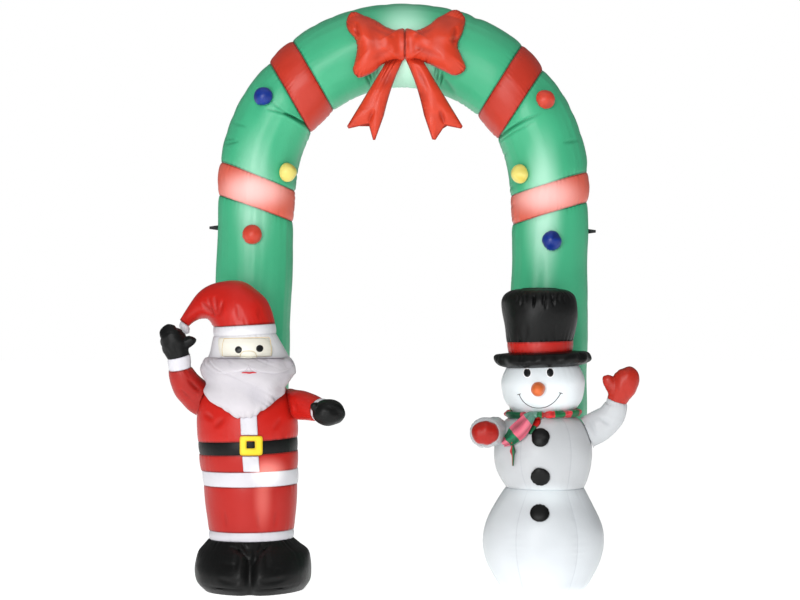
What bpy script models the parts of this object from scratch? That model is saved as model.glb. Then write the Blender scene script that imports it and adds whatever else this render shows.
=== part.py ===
"""Inflatable festive arch of light nylon cloth, with a bearded figure and a snowman before its legs.

Metres, +Z up, front towards -Y, origin on the ground under the middle of the object.
Every panel that is cut and sewn as one piece of cloth is one filled solid of its own.
"""
import math

import bmesh
import bpy
from mathutils import Vector

GAP = 0.0003            # between pieces that are sewn together
REST = 0.0015           # between a piece and the curved one that it lies on
SEAM_REACH = 0.014      # how far from a seam the cloth is drawn in
SEAM_DRAW = 0.035       # share of the width that the seam takes away

ARCH_Y = 0.198          # plane of the arch tube's middle line
ARCH_X = 0.008
ARCH_Z = 1.601          # height of the arch's centre
FIGURE_Y = -0.10        # upright axis of both figures
TUBE_SIDES = 24
LIMB_STEPS = 2          # rings of a limb between two rows of its table
ROOT_STEP = 0.005       # how much further off the body each ring of a limb's root stands
BODY_SIDES = 24         # a vertex on each gore seam of the snowman
CLEFT_HALF = 0.034      # half width of the groove between the boots

COLOURS = {
    "green nylon": "2FA577", "red nylon": "C8362A", "white nylon": "E6E4EA", "black nylon": "1D1F20",
    "cream nylon": "F3EEDC", "yellow nylon": "EAD32E", "blue nylon": "2A4BB8", "orange nylon": "DE6B34",
    "snow nylon": "E9EEF2", "pink nylon": "DE6A80", "dark green nylon": "0F6A44", "black webbing": "151617",
}
SEWN = {}               # finished cloth materials by name


def linear(channel):
    """One sRGB channel, 0 to 1, as linear light."""
    return channel / 12.92 if channel <= 0.04045 else ((channel + 0.055) / 1.055) ** 2.4


def cloth(name):
    """The Principled material of one colour of cloth, made once."""
    if name not in SEWN:
        code = COLOURS[name]
        made = bpy.data.materials.new(name)
        made.use_nodes = True
        shader = made.node_tree.nodes["Principled BSDF"]
        rgb = [linear(int(code[i:i + 2], 16) / 255) for i in (0, 2, 4)]
        shader.inputs["Base Color"].default_value = (*rgb, 1.0)
        shader.inputs["Roughness"].default_value = 0.85 if "webbing" in name else 0.5
        shader.inputs["Metallic"].default_value = 0.0
        SEWN[name] = made
    return SEWN[name]


def clear_scene():
    """Remove every object of the open file."""
    for item in list(bpy.data.objects):
        bpy.data.objects.remove(item, do_unlink=True)


def add_object(name, mesh, colour, collection):
    """Put a mesh into the collection as a smooth, named object of one cloth."""
    item = bpy.data.objects.new(name, mesh)
    mesh.materials.append(cloth(colour))
    collection.objects.link(item)
    mesh.shade_smooth()
    mesh.set_sharp_from_angle(angle=math.radians(50))
    return item


def loft(name, rings, colour, collection):
    """Skin rings of equally many points, and close both ends."""
    shape = bmesh.new()
    loops = [[shape.verts.new(point) for point in ring] for ring in rings]
    for near, far in zip(loops, loops[1:]):
        for i in range(len(near)):
            j = (i + 1) % len(near)
            shape.faces.new((near[i], near[j], far[j], far[i]))
    shape.faces.new(loops[0][::-1])
    shape.faces.new(loops[-1])
    bmesh.ops.recalc_face_normals(shape, faces=shape.faces)
    bmesh.ops.triangulate(shape, faces=[face for face in shape.faces if len(face.verts) > 4])
    mesh = bpy.data.meshes.new(name)
    shape.to_mesh(mesh)
    shape.free()
    return add_object(name, mesh, colour, collection)


def through(rows, place):
    """Read a smooth curve through table rows; place runs from 0 to the last row's number."""
    last = len(rows) - 1
    start = min(int(place), last - 1)
    part = place - start
    before, here, there, after = (rows[min(max(start + k, 0), last)] for k in (-1, 0, 1, 2))
    return [0.5 * (2 * b + (c - a) * part + (2 * a - 5 * b + 4 * c - d) * part ** 2
                   + (3 * b - a - 3 * c + d) * part ** 3)
            for a, b, c, d in zip(before, here, there, after)]


def place_of(rows, level):
    """The place in an upright table, first column falling or rising, where the level is reached."""
    rising = rows[-1][0] > rows[0][0]
    low, high = 0.0, float(len(rows) - 1)
    for _ in range(40):
        middle = (low + high) / 2
        if (through(rows, middle)[0] < level) == rising:
            low = middle
        else:
            high = middle
    return (low + high) / 2


def drawn_in(distance):
    """Width factor at a distance from a seam."""
    return 1 - SEAM_DRAW * math.exp(-distance / SEAM_REACH)


def seam_steps(length, count):
    """Distances along a panel: close together at both seams, even between."""
    inner = [SEAM_REACH + (length - 2 * SEAM_REACH) * i / count for i in range(count + 1)]
    near = [SEAM_REACH * 0.4] if count > 3 else []
    return [0.0] + near + inner + [length - run for run in near] + [length]


def at_level(rows, level):
    """The other columns of an upright table at a level, held at its ends."""
    level = min(max(level, rows[0][0]), rows[-1][0])
    return through(rows, place_of(rows, level))[1:]


class Body:
    """An upright filled body: rows of level, middle x, half width, front depth, back depth."""

    def __init__(self, rows, slopes=((0.0, 0.0), (1.0, 0.0)), cleft=None, gores=0.0):
        self.rows = rows
        self.slopes = slopes        # level, rise of the ring there per metre to the right
        self.cleft = cleft          # level, share of the depth that a groove down the front takes
        self.gores = gores          # swell of six gores between their seams

    def ring(self, level, factor=1.0):
        """The points of one ring; the back is fuller and flatter than the front."""
        middle, half, front, back = at_level(self.rows, level)
        slope = at_level(self.slopes, level)[0]
        groove = at_level(self.cleft, level)[0] if self.cleft else 0.0
        points = []
        for k in range(BODY_SIDES):
            turn = 2 * math.pi * k / BODY_SIDES
            swell = factor * (1 + self.gores * (abs(math.sin(3 * turn)) ** 0.8 - 0.6))
            across = math.cos(turn) * half * swell
            rise = math.sin(turn)
            depth = back * rise ** 0.7 if rise > 0 else front * rise
            if rise < 0:
                depth *= 1 - groove * math.exp(-(across / CLEFT_HALF) ** 2)
            points.append(Vector((middle + across, FIGURE_Y + depth * swell, level + slope * across)))
        return points

    def panel(self, name, low, high, colour, collection, steps=4, stands=False):
        """The slice of the body between two levels, drawn in at its seams."""
        low = 0.0 if stands else low + GAP / 2
        length = high - GAP / 2 - low
        rings = []
        for run in seam_steps(length, steps):
            seam = length - run if stands else min(run, length - run)
            rings.append(self.ring(low + run, drawn_in(seam)))
        return loft(name, rings, colour, collection)

    def fullest(self, level):
        """Middle x, half width and front depth of a ring at the crest of its gores."""
        middle, half, front, _ = at_level(self.rows, level)
        return middle, half * (1 + 0.4 * self.gores), front * (1 + 0.4 * self.gores)

    def front(self, x, level):
        """The y of the body's front at a place seen from the front."""
        middle, half, front = self.fullest(level)
        across = min(abs(x - middle) / half, 0.985)
        return FIGURE_Y - front * math.sqrt(1 - across ** 2)

    def side(self, y, level, hand):
        """The x of the body's side at a depth; hand is -1 for the left side, 1 for the right."""
        middle, half, front = self.fullest(level)
        share = min(abs(y - FIGURE_Y) / front, 0.97)
        return middle + hand * half * math.sqrt(1 - share ** 2)

    def facing(self, x, level):
        """The front's point and outward direction at a place seen from the front."""
        reach = 0.004
        y = self.front(x, level)
        along = Vector((2 * reach, self.front(x + reach, level) - self.front(x - reach, level), 0))
        upward = Vector((0, self.front(x, level + reach) - self.front(x, level - reach), 2 * reach))
        return Vector((x, y, level)), along.cross(upward).normalized()

    def wrap(self, name, rows, colour, collection, columns=12, rim=0.003, lie=REST, steps=8, shift=0.0):
        """A pad sewn on the body's front: rows of level, half reach across, puff; it hugs the body."""
        rings = []
        for i in range(steps + 1):
            level, reach, puff = through(rows, i * (len(rows) - 1) / steps)
            middle, half, front, _ = at_level(self.rows, level)
            limit = math.acos(min(reach / half, 0.985))
            inner, outer = [], []
            for column in range(columns + 1):
                share = 2 * column / columns - 1
                turn = -math.pi / 2 + share * (math.pi / 2 - limit)
                spot = Vector((middle + shift + half * math.cos(turn),
                               FIGURE_Y + front * math.sin(turn), level))
                outward = Vector((front * math.cos(turn), half * math.sin(turn), 0)).normalized()
                thick = rim + puff * (1 - abs(share) ** 2.6) ** 0.6
                inner.append(spot + outward * lie)
                outer.append(spot + outward * (lie + thick))
            rings.append(outer + inner[::-1])
        return loft(name, rings, colour, collection)


def closed_curve(corners, count):
    """Points spaced along a smooth closed curve through the corners."""
    total = len(corners)
    points = []
    for i in range(count):
        place = i * total / count
        start = int(place)
        rows = [corners[(start + k) % total] for k in (-1, 0, 1, 2)]
        points.append(through(rows, 1 + place - start))
    return points


def pad(name, outline, middle, crown, surface, colour, collection, rim=0.004, lie=REST,
        back=(0.16, 0.5, 0.8, 0.97), rise=2.4):
    """A filled pad sewn round its outline onto a surface, seen from the front.

    The outline is a list of x, z points that all see the middle; surface(x, z) is the y behind it.
    """
    def shrunk(share, lift):
        points = []
        for x, z in outline:
            px = middle[0] + (x - middle[0]) * share
            pz = middle[1] + (z - middle[1]) * share
            points.append(Vector((px, surface(px, pz) - lie - lift, pz)))
        return points

    front = [(share, rim + crown * (1 - share ** rise) ** 0.6) for share in (1, 0.94, 0.8, 0.55, 0.2)]
    rings = [shrunk(share, 0.0) for share in back]
    rings += [shrunk(share, lift) for share, lift in front]
    return loft(name, rings, colour, collection)


def limb(rows, parts, collection, sides=12, root=None, deep=(0, 1, 0)):
    """Filled pieces in line along rows of x, y, z, half width, half depth.

    Parts are name, first row, last row, cloth; root(point, lift) keeps the first one off a body.
    """
    made = []
    for name, first, last, colour in parts:
        rings = []
        steps = (last - first) * LIMB_STEPS
        for i in range(steps + 1):
            place = first + (last - first) * i / steps
            *centre, half, depth = through(rows, place)
            ahead = Vector(through(rows, min(place + 0.1, len(rows) - 1))[:3])
            ahead = (ahead - Vector(through(rows, max(place - 0.1, 0))[:3])).normalized()
            side = ahead.cross(Vector(deep)).normalized()
            down = side.cross(ahead).normalized()
            shift = GAP if i == 0 and first > 0 else -GAP if i == steps and last < len(rows) - 1 else 0.0
            ring = []
            for k in range(sides):
                turn = 2 * math.pi * (k + 0.5) / sides
                ring.append(Vector(centre) + ahead * shift
                            + side * half * math.cos(turn) + down * depth * math.sin(turn))
            rings.append(ring)
        if root and first == 0:
            centre = Vector(rows[0][:3])
            inner = [[root(centre.lerp(point, share), 0) for point in rings[0]] for share in (0.15, 0.55)]
            rings = inner + [[root(point, ROOT_STEP * i) for point in ring] for i, ring in enumerate(rings)]
        made.append(loft(name, rings, colour, collection))
    return made


def turned(name, profile, colour, collection, place, facing, steps=14):
    """Turn a profile of radius, height (top to bottom) round an axis that points along facing."""
    mesh = bpy.data.meshes.new(name)
    edges = [(i, i + 1) for i in range(len(profile) - 1)]
    mesh.from_pydata([(radius, 0, height) for radius, height in profile], edges, [])
    item = add_object(name, mesh, colour, collection)
    screw = item.modifiers.new("turn", "SCREW")
    screw.steps = steps
    screw.render_steps = steps
    screw.use_merge_vertices = True
    screw.merge_threshold = 0.00001
    screw.use_smooth_shade = True
    item.location = place
    item.rotation_mode = "QUATERNION"
    item.rotation_quaternion = Vector(facing).to_track_quat("Z", "Y")
    return item


# ---------------------------------------------------------------- arch tube

# Seams across the tube: x, z, half chord, tube radius, angle of the chord from outside to inside
SEAMS = {
    "floor_left": (-0.650, 0.0, 0.150, 0.150, 0.0),
    "low_left_under": (-0.603, 1.550, 0.166, 0.157, -19.6),
    "low_left_over": (-0.594, 1.683, 0.170, 0.164, -21.7),
    "high_left_under": (-0.460, 2.015, 0.173, 0.165, -59.9),
    "high_left_over": (-0.365, 2.108, 0.171, 0.169, -59.6),
    "high_right_over": (0.419, 2.087, 0.175, 0.172, -122.4),
    "high_right_under": (0.505, 1.988, 0.176, 0.167, -123.1),
    "low_right_over": (0.626, 1.653, 0.170, 0.165, -162.8),
    "low_right_under": (0.629, 1.530, 0.166, 0.159, -163.2),
    "floor_right": (0.615, 0.0, 0.152, 0.152, -180.0),
}

LEG_SWELL = 0.003
# Panels of the tube: name, first seam, last seam, swell between the seams, steps, cloth
TUBE_PANELS = (
    ("arch_leg_left", "floor_left", "low_left_under", LEG_SWELL, 5, "green nylon"),
    ("arch_band_left_low", "low_left_under", "low_left_over", 0.004, 2, "red nylon"),
    ("arch_side_left", "low_left_over", "high_left_under", 0.003, 5, "green nylon"),
    ("arch_band_left_high", "high_left_under", "high_left_over", 0.004, 2, "red nylon"),
    ("arch_top", "high_left_over", "high_right_over", 0.003, 12, "green nylon"),
    ("arch_band_right_high", "high_right_over", "high_right_under", 0.004, 2, "red nylon"),
    ("arch_side_right", "high_right_under", "low_right_over", 0.003, 5, "green nylon"),
    ("arch_band_right_low", "low_right_over", "low_right_under", 0.004, 2, "red nylon"),
    ("arch_leg_right", "low_right_under", "floor_right", LEG_SWELL, 5, "green nylon"),
)


def mix(first, last, share):
    """A value part of the way between two."""
    return first + (last - first) * share


def polar(x, z):
    """Distance and angle (degrees, over the top from the right) seen from the arch's centre."""
    angle = math.degrees(math.atan2(z - ARCH_Z, x - ARCH_X))
    return math.hypot(x - ARCH_X, z - ARCH_Z), angle + 360 if angle < -90 else angle


class TubePanel:
    """One panel of the tube between two slanted seams."""

    def __init__(self, first, last, swell):
        self.first = SEAMS[first]
        self.last = SEAMS[last]
        self.swell = swell
        self.straight = "floor" in first or "floor" in last

    def middle(self, share):
        """Middle x and z, part of the way along."""
        if self.straight:
            return mix(self.first[0], self.last[0], share), mix(self.first[1], self.last[1], share)
        ends = polar(*self.first[:2]), polar(*self.last[:2])
        reach, angle = (mix(a, b, share) for a, b in zip(*ends))
        angle = math.radians(angle)
        return ARCH_X + reach * math.cos(angle), ARCH_Z + reach * math.sin(angle)

    def length(self):
        """Length along the middle line."""
        spots = [Vector(self.middle(i / 12)) for i in range(13)]
        return sum((b - a).length for a, b in zip(spots, spots[1:]))

    def radius(self, share):
        """Tube radius, with its swell between the seams."""
        return mix(self.first[3], self.last[3], share) + self.swell * math.sin(math.pi * share) ** 0.5

    def ring(self, share, factor=1.0, shift=0.0, sides=TUBE_SIDES):
        """The points of the slanted ring, part of the way along."""
        x, z = self.middle(share)
        chord = math.radians(mix(self.first[4], self.last[4], share))
        slant = mix(self.first[2] / self.first[3], self.last[2] / self.last[3], share)
        radius = self.radius(share) * factor
        inward = Vector((math.cos(chord), 0, math.sin(chord)))
        ahead = Vector((-math.sin(chord), 0, math.cos(chord)))
        centre = Vector((x, ARCH_Y, z)) + ahead * shift
        points = []
        for k in range(sides):
            turn = 2 * math.pi * (k + 0.5) / sides
            points.append(centre + inward * radius * slant * math.cos(turn)
                          + Vector((0, 1, 0)) * radius * math.sin(turn))
        return points

    def build(self, name, steps, colour, collection):
        """The filled solid of this panel."""
        length = self.length()
        rings = []
        for run in seam_steps(length, steps):
            from_first = math.inf if self.first[1] == 0 else run            # no seam on the ground
            from_last = math.inf if self.last[1] == 0 else length - run
            shift = GAP / 2 if from_first == 0 else -GAP / 2 if from_last == 0 else 0.0
            rings.append(self.ring(run / length, drawn_in(min(from_first, from_last)), shift))
        return loft(name, rings, colour, collection)


LEGS = {-1: ("floor_left", "low_left_under"), 1: ("low_right_under", "floor_right")}


def leg_at(hand, level):
    """Middle x and radius of the left (-1) or right (1) leg at a level."""
    leg = TubePanel(*LEGS[hand], LEG_SWELL)
    share = (level - leg.first[1]) / (leg.last[1] - leg.first[1])
    return leg.middle(share)[0], leg.radius(share)


def arc_at(x, z):
    """Middle x, middle z and radius of the curved tube nearest to a place."""
    reach, angle = polar(x, z)
    for _, first, last, swell, _, _ in TUBE_PANELS:
        start, stop = polar(*SEAMS[first][:2])[1], polar(*SEAMS[last][:2])[1]
        if "floor" not in first + last and stop <= angle <= start:
            break
    panel = TubePanel(first, last, swell)
    share = (angle - start) / (stop - start)
    return *panel.middle(share), panel.radius(share)


def tube_front(x, z):
    """The y of the tube's front surface, and its outward direction, at a place seen from the front."""
    if z > SEAMS["low_left_over"][1]:
        middle_x, middle_z, radius = arc_at(x, z)
    else:
        middle_x, radius = leg_at(-1 if x < 0 else 1, z)
        middle_z = z
    off = Vector((x - middle_x, 0, z - middle_z))
    depth = math.sqrt(radius ** 2 - off.length_squared)
    return ARCH_Y - depth, (off - Vector((0, depth, 0))).normalized()


def build_tube(collection):
    """The nine panels of the arch."""
    for name, first, last, swell, steps, colour in TUBE_PANELS:
        TubePanel(first, last, swell).build(name, steps, colour, collection)


# ---------------------------------------------------------------- sewn on the arch

# Puffed balls on the front of the tube: name, x, z, radius, cloth
BALLS = (
    ("ball_blue_left", -0.556, 2.000, 0.041, "blue nylon"),
    ("ball_yellow_left", -0.476, 1.698, 0.041, "yellow nylon"),
    ("ball_red_left", -0.607, 1.436, 0.041, "red nylon"),
    ("ball_red_right", 0.591, 1.988, 0.041, "red nylon"),
    ("ball_yellow_right", 0.507, 1.690, 0.040, "yellow nylon"),
    ("ball_blue_right", 0.623, 1.411, 0.042, "blue nylon"),
)
# Side of a ball, as shares of its radius: radius, height over the tube
BALL_SIDE = ((0, 1.28), (0.34, 1.22), (0.66, 1.04), (0.90, 0.76), (1.0, 0.45), (0.90, 0.16),
             (0.62, 0.0), (0, 0))


def build_balls(collection):
    """The six balls, their backs pressed flat on the tube."""
    for name, x, z, radius, colour in BALLS:
        y, outward = tube_front(x, z)
        profile = [(radius * across, radius * height) for across, height in BALL_SIDE]
        place = Vector((x, y, z)) + outward * REST
        turned(name, profile, colour, collection, place, outward)


BOW = (0.020, 2.217)        # the bow's middle, x and z
LOBE_CROWN = 0.052
TAIL_CROWN = 0.034
TAIL_RIM = 0.004
# Outline of each lobe from the middle, in x and z, top of the knot round to its foot
LOBE_LEFT = ((0, 0.057), (-0.041, 0.059), (-0.082, 0.076), (-0.123, 0.104), (-0.176, 0.129),
             (-0.205, 0.141), (-0.227, 0.135), (-0.242, 0.100), (-0.234, 0.060), (-0.205, 0.020),
             (-0.197, -0.018), (-0.205, -0.068), (-0.214, -0.104), (-0.203, -0.129), (-0.182, -0.138),
             (-0.131, -0.117), (-0.090, -0.084), (-0.041, -0.066), (0, -0.059))
LOBE_RIGHT = ((0, 0.057), (0.041, 0.057), (0.070, 0.066), (0.102, 0.084), (0.131, 0.111),
              (0.164, 0.131), (0.201, 0.149), (0.228, 0.143), (0.250, 0.109), (0.238, 0.051),
              (0.217, -0.002), (0.233, -0.051), (0.250, -0.094), (0.238, -0.116), (0.201, -0.129),
              (0.156, -0.109), (0.086, -0.078), (0.041, -0.063), (0, -0.059))
# Tails: start line under the lobe (left, right), end line (corner, notch, corner)
TAIL_LEFT = (((-0.090, -0.093), (-0.007, -0.072)), ((-0.242, -0.346), (-0.149, -0.328), (-0.127, -0.403)))
TAIL_RIGHT = (((0.004, -0.072), (0.088, -0.090)), ((0.119, -0.401), (0.165, -0.334), (0.242, -0.346)))


BOW_BED = (0.630, 0.1765)   # middle line and radius of the tube behind the bow
BOW_LEAST = 0.118           # depth in front of the arch's plane past which the bow stands up straight


def bow_back(x, z):
    """The y behind the bow: on the tube above its middle line, hanging straight below it."""
    over = max(polar(x, z)[0] - BOW_BED[0], 0.0)
    depth = math.sqrt(max(BOW_BED[1] ** 2 - over ** 2, 0.0))
    return ARCH_Y - max(depth, BOW_LEAST)


def build_bow(collection):
    """Two puffed lobes sewn together at the middle, and two notched tails that hang from them."""
    for name, outline, hand in (("bow_lobe_left", LOBE_LEFT, -1), ("bow_lobe_right", LOBE_RIGHT, 1)):
        corners = []
        for x, z in closed_curve(outline, 32):
            corners.append((BOW[0] + hand * max(hand * x, GAP / 2), BOW[1] + z))
        middle = (BOW[0] + hand * 0.118, BOW[1])
        pad(name, corners, middle, LOBE_CROWN, bow_back, "red nylon", collection,
            lie=0.006, back=(0.15, 0.42, 0.7, 0.97))
    for name, (start, end) in (("bow_tail_left", TAIL_LEFT), ("bow_tail_right", TAIL_RIGHT)):
        strip(name, start, end, collection)


def strip(name, start, end, collection, steps=6, columns=6):
    """A puffed tail between its start line and its notched end line."""
    rings = []
    for row in range(steps + 1):
        down = row / steps
        front, back = [], []
        for column in range(columns + 1):
            across = column / columns
            top = Vector(start[0]).lerp(Vector(start[1]), across)
            half = 0 if across < 0.5 else 1
            foot = Vector(end[half]).lerp(Vector(end[half + 1]), across * 2 - half)
            x, z = Vector(BOW) + top.lerp(foot, down)
            y = bow_back(x, z) - REST
            puff = (4 * across * (1 - across)) ** 0.55 * (1 - down ** 4) ** 0.7
            front.append(Vector((x, y - TAIL_RIM - TAIL_CROWN * puff, z)))
            back.append(Vector((x, y, z)))
        rings.append(front + back[::-1])
    return loft(name, rings, "red nylon", collection)


TAB_WIDTH = 0.020           # webbing
TAB_THICK = 0.002
TAB_HOLE = 0.0085           # widest clear way inside the loop
TAB_STEPS = 20
# Tether loops: name, hand, x where they're sewn to the leg, height, reach out from the leg
TABS = (("tether_tab_left", -1, -0.7643, 1.470, 0.0362), ("tether_tab_right", 1, 0.7870, 1.455, 0.0354))


def build_tabs(collection):
    """A folded loop of webbing on each leg's outer side, open from top to bottom."""
    for name, hand, root, level, reach in TABS:
        rings = []
        for k in range(TAB_STEPS):
            turn = 2 * math.pi * k / TAB_STEPS
            out = (1 - math.cos(turn)) / 2                      # 0 at the root, 1 at the tip
            aside = (TAB_HOLE + TAB_THICK) / 2 * math.sin(turn)
            spot = Vector((root + hand * (reach - TAB_THICK) * out, ARCH_Y + aside, level))
            outward = Vector((-hand * math.cos(turn) * 0.6, math.sin(turn), 0)).normalized()
            rings.append([spot + outward * side * TAB_THICK / 2 + Vector((0, 0, up * TAB_WIDTH / 2))
                          for side, up in ((-1, -1), (1, -1), (1, 1), (-1, 1))])
        hoop(name, rings, "black webbing", collection)


def hoop(name, rings, colour, collection):
    """Skin rings of points that run round and meet again."""
    shape = bmesh.new()
    loops = [[shape.verts.new(point) for point in ring] for ring in rings]
    for near, far in zip(loops, loops[1:] + loops[:1]):
        for i in range(len(near)):
            j = (i + 1) % len(near)
            shape.faces.new((near[i], near[j], far[j], far[i]))
    bmesh.ops.recalc_face_normals(shape, faces=shape.faces)
    mesh = bpy.data.meshes.new(name)
    shape.to_mesh(mesh)
    shape.free()
    return add_object(name, mesh, colour, collection)


# ---------------------------------------------------------------- bearded figure

ELDER_BOOTS = Body((
    (0.000, -0.592, 0.200, 0.215, 0.110), (0.033, -0.592, 0.229, 0.245, 0.125),
    (0.074, -0.592, 0.238, 0.250, 0.130), (0.114, -0.592, 0.236, 0.235, 0.130),
    (0.154, -0.594, 0.224, 0.205, 0.128), (0.182, -0.600, 0.195, 0.175, 0.124),
    (0.205, -0.603, 0.174, 0.160, 0.120)),
    slopes=((0.1, 0.0), (0.205, 0.012)),
    cleft=((0.0, 0.30), (0.08, 0.34), (0.15, 0.20), (0.205, 0.0)))
ELDER = Body((
    (0.195, -0.603, 0.175, 0.160, 0.120), (0.240, -0.602, 0.175, 0.160, 0.120),
    (0.320, -0.602, 0.181, 0.165, 0.125), (0.420, -0.605, 0.192, 0.175, 0.130),
    (0.480, -0.608, 0.196, 0.182, 0.132), (0.560, -0.613, 0.201, 0.190, 0.134),
    (0.640, -0.617, 0.203, 0.190, 0.134), (0.700, -0.620, 0.202, 0.186, 0.132),
    (0.760, -0.621, 0.190, 0.172, 0.128), (0.805, -0.621, 0.165, 0.150, 0.118),
    (0.832, -0.621, 0.135, 0.120, 0.100)),
    slopes=((0.2, 0.012), (0.43, 0.012), (0.56, 0.04), (0.65, 0.04), (0.80, 0.0)))
ELDER_HEAD = Body((
    (0.833, -0.613, 0.130, 0.125, 0.100), (0.870, -0.612, 0.158, 0.150, 0.118),
    (0.915, -0.612, 0.172, 0.163, 0.126), (0.960, -0.615, 0.152, 0.156, 0.124),
    (1.026, -0.628, 0.126, 0.137, 0.114)),
    slopes=((0.92, 0.0), (1.026, 0.055)))
ELDER_BRIM = Body((
    (1.026, -0.628, 0.130, 0.141, 0.118), (1.045, -0.629, 0.133, 0.145, 0.121),
    (1.064, -0.630, 0.129, 0.139, 0.117)),
    slopes=((1.0, 0.055), (1.1, 0.055)))
# What the beard lies on: head and chest, the neck between them bridged
BEARD_BED = Body((
    (0.690, -0.620, 0.203, 0.190, 0.1), (0.760, -0.619, 0.196, 0.182, 0.1),
    (0.830, -0.614, 0.182, 0.173, 0.1), (0.900, -0.612, 0.175, 0.168, 0.1),
    (0.945, -0.612, 0.165, 0.162, 0.1)))

# Slices of the figure's body between its seams: name, low, high, cloth
ELDER_HEM = 0.205
ELDER_PANELS = (
    ("elder_hem_trim", ELDER_HEM, 0.241, "white nylon"), ("elder_skirt", 0.241, 0.424, "red nylon"),
    ("elder_waist_trim", 0.424, 0.483, "white nylon"), ("elder_tunic", 0.483, 0.553, "red nylon"),
    ("elder_belt", 0.553, 0.605, "black nylon"), ("elder_chest", 0.605, 0.832, "red nylon"),
)
ELDER_NECK = 0.833
ELDER_HAT_UNDER = 1.026     # the hat brim, low and high
ELDER_HAT_OVER = 1.064
# Level, half reach across, puff
BEARD = ((0.700, 0.028, 0.014), (0.716, 0.078, 0.030), (0.745, 0.124, 0.042), (0.785, 0.150, 0.050),
         (0.830, 0.160, 0.052), (0.880, 0.171, 0.046), (0.918, 0.176, 0.030), (0.938, 0.168, 0.010))
FACE = ((0.942, 0.098, 0.003), (0.960, 0.104, 0.012), (0.990, 0.104, 0.012), (1.016, 0.098, 0.003))
PLACKETS = (("elder_placket_upper", ((0.633, 0.033, 0.001), (0.665, 0.033, 0.004), (0.696, 0.033, 0.001))),
            ("elder_placket_lower", ((0.487, 0.032, 0.001), (0.518, 0.032, 0.004), (0.549, 0.032, 0.001))))
PLACKET_SHIFT = 0.021
# Buckle: x of its cells' edges, level of its cells' edges; the four cells in the middle are its hole
BUCKLE_COLUMNS = (-0.633, -0.606, -0.590, -0.573, -0.543)
BUCKLE_ROWS = (0.553, 0.575, 0.596, 0.617, 0.630)
BUCKLE_LEVEL = 0.600        # where the belt's curve behind it is read
BUCKLE_LIFT = 0.007         # its back, off the belt
BUCKLE_FACE = 0.013         # its front, off the belt

# Hat: outer x, outer z, inner x, inner z, half depth, from the brim over to the tip
HAT = (
    (-0.508, 1.0716, -0.752, 1.0582, 0.128), (-0.524, 1.126, -0.758, 1.072, 0.122),
    (-0.557, 1.185, -0.767, 1.084, 0.113), (-0.611, 1.232, -0.779, 1.091, 0.099),
    (-0.680, 1.248, -0.793, 1.092, 0.082), (-0.748, 1.236, -0.807, 1.090, 0.066),
    (-0.809, 1.203, -0.823, 1.083, 0.051), (-0.850, 1.157, -0.838, 1.074, 0.038),
    (-0.890, 1.086, -0.852, 1.061, 0.019))
HAT_TIP = (
    (-0.8906, 1.0850, -0.8524, 1.0600, 0.019), (-0.897, 1.066, -0.851, 1.048, 0.023),
    (-0.890, 1.045, -0.853, 1.036, 0.019), (-0.876, 1.029, -0.861, 1.027, 0.007))

# Arms and mittens: x, y, z, half width, half depth
ELDER_RAISED = (
    (-0.780, -0.110, 0.752, 0.066, 0.058), (-0.829, -0.120, 0.790, 0.066, 0.058),
    (-0.860, -0.140, 0.830, 0.061, 0.056), (-0.879, -0.158, 0.872, 0.052, 0.050),
    (-0.8845, -0.164, 0.893, 0.046, 0.045), (-0.8865, -0.168, 0.916, 0.053, 0.052),
    (-0.8888, -0.172, 0.940, 0.046, 0.045), (-0.902, -0.178, 0.985, 0.054, 0.050),
    (-0.914, -0.184, 1.026, 0.0505, 0.048), (-0.918, -0.188, 1.050, 0.040, 0.038),
    (-0.914, -0.190, 1.070, 0.014, 0.014))
ELDER_RAISED_PARTS = (("elder_sleeve_raised", 0, 4, "red nylon"), ("elder_cuff_raised", 4, 6, "white nylon"),
                      ("elder_mitten_raised", 6, 10, "black nylon"))
ELDER_RAISED_THUMB = (
    (-0.880, -0.182, 0.983, 0.024, 0.024), (-0.850, -0.187, 0.999, 0.024, 0.025),
    (-0.828, -0.190, 1.010, 0.019, 0.020), (-0.818, -0.192, 1.014, 0.007, 0.007))
ELDER_SIDE = (
    (-0.450, -0.112, 0.752, 0.056, 0.058), (-0.400, -0.165, 0.746, 0.058, 0.058),
    (-0.345, -0.222, 0.736, 0.052, 0.052), (-0.318, -0.254, 0.730, 0.047, 0.047),
    (-0.309, -0.265, 0.728, 0.054, 0.054), (-0.300, -0.276, 0.7265, 0.047, 0.046),
    (-0.288, -0.300, 0.725, 0.063, 0.050), (-0.277, -0.328, 0.724, 0.066, 0.052),
    (-0.268, -0.356, 0.723, 0.046, 0.038), (-0.264, -0.368, 0.723, 0.014, 0.012))
ELDER_SIDE_PARTS = (("elder_sleeve_side", 0, 3, "red nylon"), ("elder_cuff_side", 3, 5, "white nylon"),
                    ("elder_mitten_side", 5, 9, "black nylon"))
ELDER_SIDE_THUMB = (
    (-0.318, -0.318, 0.740, 0.018, 0.018), (-0.332, -0.333, 0.747, 0.020, 0.020),
    (-0.335, -0.350, 0.750, 0.016, 0.016), (-0.334, -0.358, 0.750, 0.006, 0.006))


def slanted(name, rows, colour, collection, sides=16, per_row=2):
    """A filled cone whose rings run between its outer and its inner outline."""
    rings = []
    steps = (len(rows) - 1) * per_row
    for i in range(steps + 1):
        outer_x, outer_z, inner_x, inner_z, depth = through(rows, i / per_row)
        outer = Vector((outer_x, FIGURE_Y, outer_z))
        inner = Vector((inner_x, FIGURE_Y, inner_z))
        middle = (outer + inner) / 2
        ring = []
        for k in range(sides):
            turn = 2 * math.pi * k / sides
            ring.append(middle + (outer - middle) * math.cos(turn) + Vector((0, depth * math.sin(turn), 0)))
        rings.append(ring)
    return loft(name, rings, colour, collection)


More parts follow.
